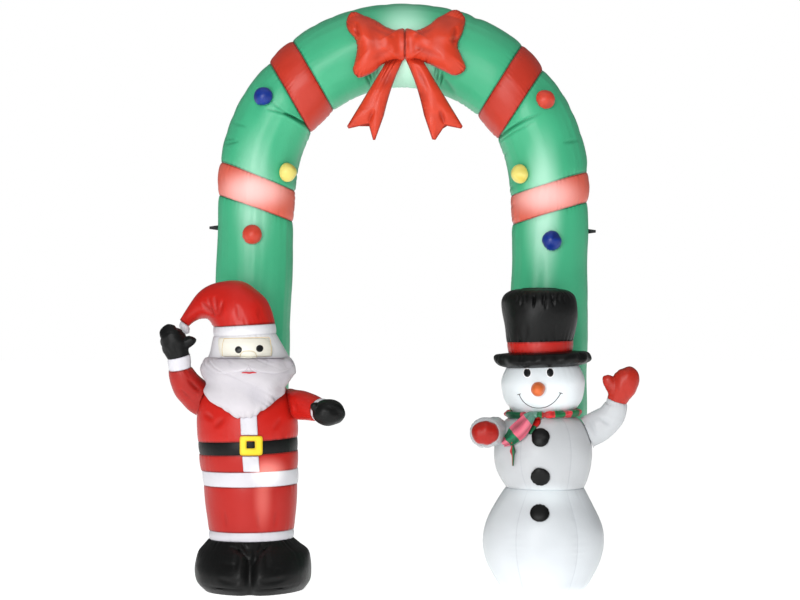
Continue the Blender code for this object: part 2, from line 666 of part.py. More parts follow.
def add_thumb(palm, rows, cutters, deep):
    """Join a thumb onto a mitten's palm."""
    colour = palm.data.materials[0].name
    thumb, = limb(rows, [(palm.name + "_thumb", 0, len(rows) - 1, colour)], cutters, sides=10, deep=deep)
    thumb.hide_render = True
    thumb.display_type = "WIRE"
    union = palm.modifiers.new("thumb", "BOOLEAN")
    union.operation = "UNION"
    union.object = thumb


def build_buckle(collection):
    """A yellow square frame on the belt, its hole left open."""
    hole = {(column, row) for column in (1, 2) for row in (1, 2)}
    shape = bmesh.new()
    corners = {}
    for layer, lift in enumerate((BUCKLE_LIFT, BUCKLE_FACE)):
        for i, x in enumerate(BUCKLE_COLUMNS):
            for j, z in enumerate(BUCKLE_ROWS):
                corners[layer, i, j] = shape.verts.new((x, ELDER.front(x, BUCKLE_LEVEL) - lift, z))
    cells = {(i, j) for i in range(4) for j in range(4)} - hole
    for i, j in cells:
        for layer in (0, 1):
            shape.faces.new([corners[layer, i + a, j + b] for a, b in ((0, 0), (1, 0), (1, 1), (0, 1))])
        for (da, db), (start, end) in (((0, -1), ((0, 0), (1, 0))), ((0, 1), ((0, 1), (1, 1))),
                                       ((-1, 0), ((0, 0), (0, 1))), ((1, 0), ((1, 0), (1, 1)))):
            if (i + da, j + db) not in cells:
                rim = (i + start[0], j + start[1]), (i + end[0], j + end[1])
                under, over = ([corners[layer, *spot] for spot in rim] for layer in (0, 1))
                shape.faces.new(under + over[::-1])
    bmesh.ops.recalc_face_normals(shape, faces=shape.faces)
    mesh = bpy.data.meshes.new("elder_buckle")
    shape.to_mesh(mesh)
    shape.free()
    add_object("elder_buckle", mesh, "yellow nylon", collection)


def build_elder(collection, cutters):
    """The bearded figure before the left leg."""
    ELDER_BOOTS.panel("elder_boots", 0.0, ELDER_HEM, "black nylon", collection, steps=5, stands=True)
    for name, low, high, colour in ELDER_PANELS:
        ELDER.panel(name, low, high, colour, collection, steps=2 if high - low < 0.08 else 4)
    ELDER_HEAD.panel("elder_head", ELDER_NECK, ELDER_HAT_UNDER, "white nylon", collection)
    ELDER_BRIM.panel("elder_hat_brim", ELDER_HAT_UNDER, ELDER_HAT_OVER, "white nylon", collection, steps=1)
    slanted("elder_hat", HAT, "red nylon", collection)
    slanted("elder_hat_tip", HAT_TIP, "white nylon", collection, sides=12)
    BEARD_BED.wrap("elder_beard", BEARD, "white nylon", collection, columns=12, rim=0.005, steps=10)
    ELDER_HEAD.wrap("elder_face", FACE, "cream nylon", collection, columns=10, steps=6)
    for name, rows in PLACKETS:
        ELDER.wrap(name, rows, "white nylon", collection, columns=4, steps=4, shift=PLACKET_SHIFT)
    build_buckle(collection)

    def left_side(point, lift):
        return Vector((min(point.x, ELDER.side(point.y, point.z, -1) - REST - lift), point.y, point.z))

    def right_side(point, lift):
        return Vector((max(point.x, ELDER.side(point.y, point.z, 1) + REST + lift), point.y, point.z))

    *_, palm = limb(ELDER_RAISED, ELDER_RAISED_PARTS, collection, root=left_side)
    add_thumb(palm, ELDER_RAISED_THUMB, cutters, (0, 1, 0))
    *_, palm = limb(ELDER_SIDE, ELDER_SIDE_PARTS, collection, root=right_side, deep=(0, 0, 1))
    add_thumb(palm, ELDER_SIDE_THUMB, cutters, (0, 0, 1))


# ---------------------------------------------------------------- snowman

SNOW_BASE = Body((
    (0.000, 0.5785, 0.165, 0.165, 0.100), (0.022, 0.5785, 0.186, 0.190, 0.115),
    (0.0625, 0.5785, 0.209, 0.213, 0.125), (0.107, 0.5785, 0.230, 0.233, 0.130),
    (0.1555, 0.5785, 0.243, 0.245, 0.131), (0.196, 0.5785, 0.247, 0.248, 0.131),
    (0.245, 0.5785, 0.243, 0.243, 0.131), (0.293, 0.578, 0.226, 0.229, 0.131),
    (0.334, 0.579, 0.204, 0.209, 0.129), (0.375, 0.582, 0.180, 0.187, 0.124),
    (0.411, 0.5855, 0.161, 0.168, 0.118)), gores=0.02)
SNOW_BODY = Body((
    (0.411, 0.5855, 0.161, 0.168, 0.118), (0.440, 0.582, 0.174, 0.178, 0.124),
    (0.479, 0.579, 0.190, 0.191, 0.128), (0.520, 0.579, 0.199, 0.199, 0.130),
    (0.560, 0.579, 0.2013, 0.200, 0.130), (0.600, 0.579, 0.195, 0.193, 0.128),
    (0.645, 0.579, 0.178, 0.177, 0.118), (0.680, 0.579, 0.152, 0.152, 0.100),
    (0.704, 0.579, 0.115, 0.117, 0.074)), gores=0.012)
SNOW_HEAD = Body((
    (0.704, 0.5785, 0.112, 0.112, 0.074), (0.719, 0.5785, 0.126, 0.124, 0.083),
    (0.762, 0.5785, 0.157, 0.152, 0.110), (0.819, 0.5785, 0.168, 0.164, 0.126),
    (0.851, 0.5785, 0.166, 0.162, 0.125), (0.898, 0.5775, 0.148, 0.146, 0.118)),
    slopes=((0.80, 0.0), (0.90, 0.037)))
SNOW_HAT = Body((
    (0.898, 0.5775, 0.146, 0.145, 0.115), (0.906, 0.5775, 0.175, 0.169, 0.125),
    (0.916, 0.5775, 0.188, 0.182, 0.129), (0.928, 0.577, 0.193, 0.187, 0.131),
    (0.940, 0.576, 0.188, 0.182, 0.129), (0.950, 0.574, 0.172, 0.166, 0.123),
    (0.957, 0.570, 0.134, 0.132, 0.112)),
    slopes=((0.80, 0.037), (1.0, 0.037)))
SNOW_CROWN = Body((
    (0.957, 0.568, 0.131, 0.129, 0.112), (0.980, 0.567, 0.134, 0.131, 0.113),
    (1.000, 0.567, 0.136, 0.133, 0.114), (1.050, 0.567, 0.143, 0.141, 0.120),
    (1.100, 0.567, 0.150, 0.147, 0.125), (1.140, 0.567, 0.152, 0.149, 0.126),
    (1.170, 0.566, 0.149, 0.146, 0.124), (1.192, 0.5655, 0.136, 0.134, 0.115),
    (1.207, 0.565, 0.110, 0.108, 0.096), (1.2135, 0.565, 0.070, 0.070, 0.064)),
    slopes=((0.957, 0.037), (1.0, 0.024), (1.2, 0.0)))

# Levels of the snowman's seams, from the ground up
SNOW_WAIST = 0.411
SNOW_NECK = 0.704
SNOW_BRIM_UNDER = 0.898
SNOW_BAND_UNDER = 0.957
SNOW_BAND_OVER = 1.000
SNOW_HAT_END = 1.2138

SCARF_LEVEL = 0.710
SCARF_RING = (0.152, 0.148, 0.108)      # half width, front and back depth of its middle line
SCARF_THICK = 0.0185
SCARF_COUNT = 24                        # rings round the neck
SCARF_SIDES = 8
KNOT_AT = -1.87                         # turn, in radians, where the knot sits
KNOT_HALF = 0.17                        # turn over which the knot swells
KNOT_SWELL = 0.55
# Loose tails: x, z, half width, standing off the body
TAIL_LONG = ((0.524, 0.664, 0.020, 0.020), (0.498, 0.648, 0.024, 0.016), (0.474, 0.624, 0.027, 0.008),
             (0.452, 0.598, 0.022, 0.005), (0.436, 0.576, 0.016, 0.004))
TAIL_SHORT = ((0.470, 0.575, 0.010, 0.008), (0.466, 0.555, 0.011, 0.014), (0.463, 0.530, 0.011, 0.018),
              (0.461, 0.510, 0.010, 0.018))
TAIL_THICK = 0.003

SNOW_RAISED = (
    (0.742, -0.110, 0.622, 0.063, 0.056), (0.800, -0.114, 0.656, 0.064, 0.056),
    (0.846, -0.122, 0.692, 0.058, 0.052), (0.869, -0.132, 0.736, 0.048, 0.045),
    (0.8737, -0.1357, 0.761, 0.041, 0.040), (0.888, -0.142, 0.795, 0.050, 0.046),
    (0.906, -0.148, 0.832, 0.055, 0.048), (0.914, -0.152, 0.864, 0.051, 0.044),
    (0.915, -0.154, 0.886, 0.036, 0.032), (0.914, -0.155, 0.898, 0.012, 0.012))
SNOW_RAISED_PARTS = (("snow_arm_raised", 0, 4, "snow nylon"), ("snow_mitten_raised", 4, 9, "red nylon"))
SNOW_RAISED_THUMB = (
    (0.884, -0.150, 0.820, 0.022, 0.022), (0.858, -0.153, 0.834, 0.022, 0.022),
    (0.836, -0.155, 0.850, 0.018, 0.018), (0.826, -0.156, 0.858, 0.007, 0.007))
SNOW_FRONT = (
    (0.386, -0.130, 0.640, 0.052, 0.056), (0.368, -0.195, 0.640, 0.054, 0.056),
    (0.350, -0.255, 0.642, 0.054, 0.054), (0.3417, -0.288, 0.643, 0.046, 0.044),
    (0.334, -0.315, 0.645, 0.057, 0.047), (0.329, -0.342, 0.647, 0.056, 0.045),
    (0.327, -0.361, 0.648, 0.038, 0.030), (0.326, -0.370, 0.648, 0.012, 0.010))
SNOW_FRONT_PARTS = (("snow_arm_front", 0, 3, "snow nylon"), ("snow_mitten_front", 3, 7, "red nylon"))
SNOW_FRONT_THUMB = (
    (0.370, -0.318, 0.660, 0.018, 0.018), (0.381, -0.332, 0.666, 0.019, 0.018),
    (0.384, -0.350, 0.668, 0.015, 0.014), (0.384, -0.357, 0.668, 0.006, 0.006))

BUTTON_RADIUS = 0.0375
# Side of a button, as shares of its radius: radius, height over the cloth
BUTTON_SIDE = ((0, 0.36), (0.5, 0.33), (0.82, 0.22), (1.0, 0.10), (0.94, 0.02), (0, 0.02))
# Buttons: name, body, x, level
BUTTONS = (("snow_button_top", SNOW_BODY, 0.555, 0.622), ("snow_button_middle", SNOW_BODY, 0.555, 0.470),
           ("snow_button_low", SNOW_BASE, 0.549, 0.330))
NOSE_SIDE = ((0, 0.058), (0.012, 0.055), (0.021, 0.045), (0.027, 0.028), (0.029, 0.010), (0.026, 0.001),
             (0, 0.001))
NOSE_PLACE = (0.550, 0.816)


def build_scarf(collection):
    """A padded scarf round the neck, with its knot, and two loose tails."""
    rings = []
    for k in range(SCARF_COUNT):
        turn = 2 * math.pi * k / SCARF_COUNT
        rise = math.sin(turn)
        depth = SCARF_RING[2] * rise ** 0.7 if rise > 0 else SCARF_RING[1] * rise
        across = SCARF_RING[0] * math.cos(turn)
        centre = Vector((SNOW_HEAD.rows[0][1] + across, FIGURE_Y + depth, SCARF_LEVEL))
        outward = Vector((math.cos(turn), math.sin(turn), 0))
        near = math.exp(-((turn - 2 * math.pi - KNOT_AT) / KNOT_HALF) ** 2)
        ring = []
        for j in range(SCARF_SIDES):
            roll = 2 * math.pi * (j + 0.5) / SCARF_SIDES
            out, up = math.cos(roll), math.sin(roll)
            swell = 1 + KNOT_SWELL * near * max(out, 0.0)
            ring.append(centre + outward * SCARF_THICK * swell * out + Vector((0, 0, SCARF_THICK * up)))
        rings.append(ring)
    hoop("snow_scarf_neck", rings, "red nylon", collection)
    for name, rows in (("snow_scarf_tail_long", TAIL_LONG), ("snow_scarf_tail_short", TAIL_SHORT)):
        sheet(name, rows, collection)


def sheet(name, rows, collection, steps=10, columns=5):
    """A thin strip that hangs over the snowman's body."""
    rings = []
    for i in range(steps + 1):
        place = i * (len(rows) - 1) / steps
        x, z, half, off = through(rows, place)
        nearby = through(rows, min(place + 0.1, len(rows) - 1))
        before = through(rows, max(place - 0.1, 0))
        along = Vector((nearby[0] - before[0], nearby[1] - before[1])).normalized()
        across = Vector((-along.y, along.x))
        outer, inner = [], []
        for column in range(columns + 1):
            share = 2 * column / columns - 1
            px, pz = x + across.x * half * share, z + across.y * half * share
            point, outward = SNOW_BODY.facing(px, pz)
            inner.append(point + outward * (off + REST))
            outer.append(point + outward * (off + REST + TAIL_THICK))
        rings.append(outer + inner[::-1])
    return loft(name, rings, "pink nylon", collection)


def build_snowman(collection, cutters):
    """The snowman before the right leg."""
    SNOW_BASE.panel("snow_base", 0.0, SNOW_WAIST, "snow nylon", collection, steps=7, stands=True)
    SNOW_BODY.panel("snow_body", SNOW_WAIST, SNOW_NECK, "snow nylon", collection, steps=6)
    SNOW_HEAD.panel("snow_head", SNOW_NECK, SNOW_BRIM_UNDER, "snow nylon", collection, steps=5)
    SNOW_HAT.panel("snow_hat_brim", SNOW_BRIM_UNDER, SNOW_BAND_UNDER, "black nylon", collection)
    SNOW_CROWN.panel("snow_hat_band", SNOW_BAND_UNDER, SNOW_BAND_OVER, "red nylon", collection, steps=1)
    SNOW_CROWN.panel("snow_hat_top", SNOW_BAND_OVER, SNOW_HAT_END, "black nylon", collection, steps=6)
    build_scarf(collection)

    def shoulder(point, lift):
        return Vector((max(point.x, SNOW_BODY.side(point.y, point.z, 1) + REST + lift), point.y, point.z))

    def breast(point, lift):
        return Vector((point.x, min(point.y, SNOW_BODY.front(point.x, point.z) - 3 * REST - lift), point.z))

    *_, palm = limb(SNOW_RAISED, SNOW_RAISED_PARTS, collection, root=shoulder)
    add_thumb(palm, SNOW_RAISED_THUMB, cutters, (0, 1, 0))
    *_, palm = limb(SNOW_FRONT, SNOW_FRONT_PARTS, collection, root=breast, deep=(0, 0, 1))
    add_thumb(palm, SNOW_FRONT_THUMB, cutters, (0, 0, 1))
    for name, body, x, z in BUTTONS:
        place, outward = body.facing(x, z)
        profile = [(across * BUTTON_RADIUS, height * BUTTON_RADIUS) for across, height in BUTTON_SIDE]
        turned(name, profile, "black nylon", collection, place + outward * 2 * REST, outward)
    place, outward = SNOW_HEAD.facing(*NOSE_PLACE)
    turned("snow_nose", NOSE_SIDE, "orange nylon", collection, place + outward * 2 * REST, outward)


def main():
    """Build every piece."""
    clear_scene()
    model = bpy.data.collections.new("inflatable_arch")
    cutters = bpy.data.collections.new("joined_parts")
    for made in (model, cutters):
        bpy.context.scene.collection.children.link(made)
    build_tube(model)
    build_balls(model)
    build_bow(model)
    build_tabs(model)
    build_elder(model, cutters)
    build_snowman(model, cutters)


main()
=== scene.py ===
"""Looks of the inflatable arch: every piece of filled cloth in its fine form, with its finish.

Metres, +Z up, front towards -Y, origin on the ground under the middle. Each piece is cut as a flat
grid of cloth, bent to its filled shape by a formula, and sewn shut. Tucks run out from its seams.
The rows that mm and troughs read are in millimetres.
"""
import logging
import math
from collections.abc import Callable, Sequence
from dataclasses import dataclass
from enum import Enum
from functools import lru_cache

import bmesh
import bpy
import numpy as np
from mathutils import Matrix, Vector
from mathutils.bvhtree import BVHTree

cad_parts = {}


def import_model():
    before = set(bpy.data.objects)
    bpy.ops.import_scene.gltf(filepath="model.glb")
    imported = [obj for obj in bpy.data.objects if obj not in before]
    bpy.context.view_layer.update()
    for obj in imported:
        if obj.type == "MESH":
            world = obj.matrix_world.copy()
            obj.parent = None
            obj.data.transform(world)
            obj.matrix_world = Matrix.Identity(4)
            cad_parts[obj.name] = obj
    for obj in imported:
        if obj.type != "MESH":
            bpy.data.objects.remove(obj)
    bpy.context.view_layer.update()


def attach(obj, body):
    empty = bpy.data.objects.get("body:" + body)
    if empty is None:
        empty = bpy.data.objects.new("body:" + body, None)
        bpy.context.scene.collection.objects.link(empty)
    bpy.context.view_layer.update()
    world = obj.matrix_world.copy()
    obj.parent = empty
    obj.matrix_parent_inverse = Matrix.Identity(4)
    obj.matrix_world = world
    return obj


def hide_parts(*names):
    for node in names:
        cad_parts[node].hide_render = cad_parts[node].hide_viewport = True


log = logging.getLogger("arch")

Array = np.ndarray
Object = bpy.types.Object
Tree = bpy.types.NodeTree
Node = bpy.types.Node
Socket = bpy.types.NodeSocket
Table = tuple[tuple[float, ...], ...]

GAP = 0.0003                # between pieces that are sewn together
REST = 0.0015               # between a piece and the curved one that it lies on
MERGE = 0.000002            # points closer than this are sewn into one
SEAM_REACH = 0.014          # how far from a seam the cloth is drawn in
SEAM_DRAW = 0.035           # share of the width that the seam takes away
FINE = 0.0032               # grid of the cloth by a seam
COARSE = 0.0075             # grid of the cloth between seams
FIGURE_Y = -0.1             # upright axis of both figures
RIDGE = -0.002              # how high the ridges beside a crease may stand on a thin piece
CLOSING_ROWS = 14           # rows of the closed end of a slice
CAP_ROWS = 8                # rows of the end of a sleeve, against the body
FAR = 9.0                   # a distance that no seam is within
MILLI = 1000                # tables of sizes are in millimetres
THREAD = 0.0011             # threads of taffeta are 0.1 mm apart; drawn coarser so that they show


# ---- numbers

def spline(rows: Sequence[Sequence[float]], place: Array) -> Array:
    """Read a smooth curve through table rows.

    Args:
        rows: the table, one row for each section.
        place: places on the curve, from 0 to the last row's number.

    Returns:
        One row of values for each place.
    """
    table = np.asarray(rows, float)
    last = len(table) - 1
    start = np.clip(np.floor(place).astype(int), 0, last - 1)
    part = (place - start)[:, None]
    before, here, there, after = (table[np.clip(start + k, 0, last)] for k in (-1, 0, 1, 2))
    return 0.5 * (2 * here + (there - before) * part
                  + (2 * before - 5 * here + 4 * there - after) * part ** 2
                  + (3 * here - before - 3 * there + after) * part ** 3)


def mm(*rows: Sequence[float]) -> Table:
    """Table rows that are given in millimetres, in metres."""
    return tuple(tuple(size / MILLI for size in row) for row in rows)


def squared(wave: Array, power: float) -> Array:
    """A wave with its size raised to a power, which squares off what it goes round."""
    return np.sign(wave) * np.abs(wave) ** power


def wander(points: Array, size: float, seed: int) -> Array:
    """A smooth, uneven value at each point, about -1 to 1, whose swells are about size across."""
    chance = np.random.default_rng(seed)
    total = np.zeros(len(points))
    for _ in range(7):
        way = chance.normal(size=3)
        way *= 2 * math.pi / size * chance.uniform(0.5, 1.4) / np.linalg.norm(way)
        total += np.sin(points @ way + chance.uniform(0, 2 * math.pi))
    return total / 2.6


def stepped(length: float, closed_start: bool = True, wide: float = COARSE) -> Array:
    """Distances along a panel of cloth, close together at its seams.

    Args:
        length: the panel's length.
        closed_start: whether the start is a seam, and not an edge that stands on the ground.
        wide: the widest step.

    Returns:
        Distances from 0 to length.
    """
    steps = [0.0]
    while steps[-1] < length:
        near = min(steps[-1] if closed_start else math.inf, max(length - steps[-1], 0))
        steps.append(steps[-1] + FINE + (wide - FINE) * min(near / (4 * SEAM_REACH), 1))
    return np.array(steps) * length / steps[-1]


def drawn_in(distance: Array) -> Array:
    """Width factor at a distance from a seam."""
    return 1 - SEAM_DRAW * np.exp(-distance / SEAM_REACH)


def stack(*columns: Array | float) -> Array:
    """Columns of x, y and z as one array of points."""
    return np.stack(np.broadcast_arrays(*columns), axis=1).astype(float)


def unit(ways: Array) -> Array:
    """The same directions at a length of one."""
    return ways / np.maximum(np.linalg.norm(ways, axis=1, keepdims=True), 1e-12)


@dataclass(frozen=True)
class Tucks:
    """Small folds that run out from a seam where the cloth is drawn up by its stitches."""

    pitch: float            # between two tucks
    depth: float
    reach: float            # how far they run
    seed: int

    def depth_at(self, along: Array, distance: Array, around: float | None = None) -> Array:
        """How deep the cloth lies under its even form.

        Args:
            along: metres along the seam.
            distance: metres from the seam.
            around: the seam's length where it closes on itself.

        Returns:
            Depth at each point, zero or more.
        """
        if around:
            turn = 2 * math.pi * along / around
            line = stack(np.cos(turn), np.sin(turn), 0) * around / (2 * math.pi)
            phase = along / around * round(around / self.pitch)
        else:
            line = stack(along, 0, 0)
            phase = along / self.pitch
        phase = phase + 0.55 * wander(line, 5 * self.pitch, self.seed)
        fold = np.maximum(1 - np.sqrt(0.988 * np.sin(math.pi * phase) ** 2 + 0.012), 0) ** 1.8
        share = np.clip(0.55 + 0.6 * wander(line, 3.3 * self.pitch, self.seed + 1), 0.05, 1.3)
        reach = self.reach * np.clip(0.8 + 0.5 * wander(line, 2.3 * self.pitch, self.seed + 2), 0.3, 1.6)
        return self.depth * share * fold * np.exp(-(np.maximum(distance, 0) / reach) ** 1.3)


@dataclass(frozen=True)
class Crease:
    """A soft trough in filled cloth between two places seen from the front, in x and z."""

    start: tuple[float, float]
    end: tuple[float, float]
    depth: float
    width: float
    bow: float = 0.0        # how far its middle lies to the left of the straight line
    grows: bool = False     # deepest at its end, and not in its middle

    def depth_at(self, x: Array, z: Array) -> Array:
        """How deep the cloth lies under its even form; a little over it on the ridges beside the trough."""
        way = np.subtract(self.end, self.start)
        length = float(np.linalg.norm(way))
        way = way / length
        off = stack(x - self.start[0], z - self.start[1])
        along = np.clip(off @ way / length, 0, 1)
        centre = np.outer(along * length, way)
        centre += np.outer(self.bow * np.sin(math.pi * along), (-way[1], way[0]))
        distance = np.linalg.norm(off - centre, axis=1)
        taper = along ** 0.7 if self.grows else np.sin(math.pi * along) ** 0.6
        width = self.width * (0.6 + 0.4 * taper)
        beyond = np.exp(-(distance / (2.3 * width)) ** 2)
        return self.depth * taper * (1.35 * np.exp(-(distance / width) ** 2) - 0.35 * beyond)


def troughs(*rows: Sequence[float]) -> tuple[Crease, ...]:
    """Creases from rows of millimetres: start x, z, end x, z, depth, width, bow, and 1 where it grows."""
    full = mm(*((*row, 0, 0)[:8] for row in rows))
    return tuple(Crease((x, z), (to_x, to_z), depth, width, bow, grows > 0)
                 for x, z, to_x, to_z, depth, width, bow, grows in full)


def creased(creases: Sequence[Crease], x: Array, z: Array, ridge: float = -math.inf) -> Array | float:
    """How deep all the creases are at each place, their ridges no higher than a height below 0."""
    return sum(np.maximum(crease.depth_at(x, z), ridge) for crease in creases)


@dataclass
class Form:
    """The points of one piece of cloth once it is filled."""

    places: Array                       # x, y, z
    cloth: Array                        # place on the flat cloth, metres
    seam: Array                         # metres to the nearest seam
    fold: Array | None = None           # 0 on even cloth to 1 deep in a crease: painted shade
    stripe: Array | None = None         # place in a row of coloured stripes, 0 to 1


# ---- sewing

def cut_and_sew(name: str, columns: int, rows: int, fill: Callable[[Array, Array], Form]) -> Object:
    """Cut a grid of cloth, bend it to its filled form and sew it shut.

    Args:
        name: the new object's name.
        columns: cells across, round the piece.
        rows: cells along the piece.
        fill: gives the form for shares across and along the grid, both 0 to 1.

    Returns:
        The object, linked to the scene, with its cloth map and marks.
    """
    sheet = bmesh.new()
    bmesh.ops.create_grid(sheet, x_segments=columns, y_segments=rows, size=0.5)
    mesh = bpy.data.meshes.new(name)
    sheet.to_mesh(mesh)
    flat = np.empty(3 * len(mesh.vertices))
    mesh.vertices.foreach_get("co", flat)
    flat = flat.reshape(-1, 3) + 0.5
    form = fill(flat[:, 0], flat[:, 1])
    mesh.vertices.foreach_set("co", form.places.ravel())
    corners = np.empty(len(mesh.loops), int)
    mesh.loops.foreach_get("vertex_index", corners)
    mesh.uv_layers.new(name="cloth").data.foreach_set("uv", form.cloth[corners].ravel())
    # the fold mark carries the painted shade of the creases to the finishes
    marks = {"seam": form.seam, "fold": form.fold, "stripe": form.stripe}
    for mark, values in marks.items():
        layer = mesh.attributes.new(mark, "FLOAT", "POINT")
        values = np.zeros(len(form.places)) if values is None else np.broadcast_to(values, len(form.places))
        layer.data.foreach_set("value", values)
    sheet.clear()
    sheet.from_mesh(mesh)
    bmesh.ops.remove_doubles(sheet, verts=sheet.verts, dist=MERGE)
    bmesh.ops.holes_fill(sheet, edges=[side for side in sheet.edges if side.is_boundary], sides=0)
    bmesh.ops.recalc_face_normals(sheet, faces=sheet.faces)
    sheet.to_mesh(mesh)
    sheet.free()
    return link(name, mesh)


def link(name: str, mesh: bpy.types.Mesh) -> Object:
    """Put a mesh into the scene as a smooth object with sharp hems."""
    piece = bpy.data.objects.new(name, mesh)
    bpy.context.scene.collection.objects.link(piece)
    mesh.shade_smooth()
    mesh.set_sharp_from_angle(angle=math.radians(52))
    return piece


def apply_modifiers(piece: Object) -> None:
    """Make the piece's modifiers part of its mesh."""
    seen = bpy.context.evaluated_depsgraph_get()
    made = bpy.data.meshes.new_from_object(piece.evaluated_get(seen), depsgraph=seen)
    piece.modifiers.clear()
    old = piece.data
    piece.data = made
    bpy.data.meshes.remove(old)


# ---- finishes

def linear(code: str) -> tuple[float, float, float, float]:
    """An sRGB hex colour as linear light, with an alpha of 1."""
    shares = [int(code[i:i + 2], 16) / 255 for i in (0, 2, 4)]
    return (*(c / 12.92 if c <= 0.04045 else ((c + 0.055) / 1.055) ** 2.4 for c in shares), 1.0)


def add_node(tree: Tree, kind: str, inputs: dict[str | int, object] | None = None,
             **settings: object) -> Node:
    """Add a node, with its settings, values and links.

    Args:
        tree: the node tree.
        kind: the node's type name, without its first word.
        inputs: by an input's name or number, its value or the socket that feeds it.
        settings: the node's own properties.

    Returns:
        The new node.
    """
    made = tree.nodes.new(f"ShaderNode{kind}")
    for key, value in settings.items():
        setattr(made, key, value)
    feed(tree, made, inputs or {})
    return made


def feed(tree: Tree, node: Node, inputs: dict[str | int, object]) -> None:
    """Give a node's inputs their values, or link them to the sockets that feed them."""
    for key, value in inputs.items():
        if isinstance(value, Socket):
            tree.links.new(value, node.inputs[key])
        else:
            node.inputs[key].default_value = value


@dataclass(frozen=True)
class Lamp:
    """Painted light where a lamp hanging inside the cloth would shine through it: a pool of paler colour and
    glow painted on the cloth.
    """

    place: tuple[float, float, float]
    spread: tuple[float, float, float]      # how far its painted light shows along x, y and z
    strength: float = 1.0

    def light_at(self, tree: Tree, spot: Socket) -> Socket:
        """How strongly its painted light shows at a spot on the cloth, fading evenly to nothing."""
        off = add_node(tree, "VectorMath", {0: spot, 1: self.place}, operation="SUBTRACT")
        share = add_node(tree, "VectorMath", {0: off.outputs[0], 1: self.spread},
                         operation="DIVIDE")
        far = add_node(tree, "VectorMath", {0: share.outputs[0]}, operation="LENGTH")
        fading = add_node(tree, "MapRange",
                          {"Value": far.outputs["Value"], "From Min": 0.0, "From Max": 1.0,
                           "To Min": self.strength, "To Max": 0.0}, interpolation_type="SMOOTHERSTEP")
        return fading.outputs["Result"]


# Painted light: the pools of light that the lamps inside the arch and the figures paint onto the cloth
LAMP_LEFT = Lamp((-0.604, 0.045, 1.62), (0.23, 0.23, 0.12), 0.85)
LAMP_LEFT_AROUND = Lamp((-0.604, 0.045, 1.6), (0.12, 0.18, 0.36), 0.42)
LAMP_RIGHT = Lamp((0.59, 0.045, 1.6), (0.23, 0.23, 0.12), 0.8)
LAMP_RIGHT_AROUND = Lamp((0.59, 0.045, 1.55), (0.11, 0.18, 0.42), 0.62)
LAMP_OVER = Lamp((0.02, 0.06, 2.17), (0.19, 0.32, 0.33), 1.0)
LAMP_WAIST = Lamp((-0.525, -0.24, 0.482), (0.1, 0.15, 0.085), 0.9)
LAMP_SKIRT = Lamp((-0.545, -0.24, 0.39), (0.05, 0.18, 0.2), 0.36)
LAMP_HEAD = Lamp((-0.615, -0.18, 0.975), (0.23, 0.2, 0.13), 0.75)
LAMP_BELLY = Lamp((0.58, -0.2, 0.385), (0.17, 0.2, 0.085), 0.9)
LAMP_SNOW_HEAD = Lamp((0.578, -0.13, 0.8), (0.32, 0.32, 0.2), 0.95)


class Slot(Enum):
    """The record's material slots."""

    GREEN = "green_nylon"
    RED = "red_nylon"
    WHITE = "white_nylon"
    BLACK = "black_nylon"
    CREAM = "cream_nylon"
    YELLOW = "yellow_nylon"
    BLUE = "blue_nylon"
    ORANGE = "orange_nylon"
    SNOW = "snow_nylon"
    SCARF = "scarf_nylon"
    STRAP = "black_webbing"


class Finish:
    """A material that is made once; each kind paints it in its own way."""

    def material(self) -> bpy.types.Material:
        """The material."""
        if self.name not in bpy.data.materials:
            made = bpy.data.materials.new(self.name)
            made.use_nodes = True
            tree = made.node_tree
            self.paint(tree, tree.nodes["Principled BSDF"], add_node(tree, "TexCoord").outputs["Object"])
        return bpy.data.materials[self.name]


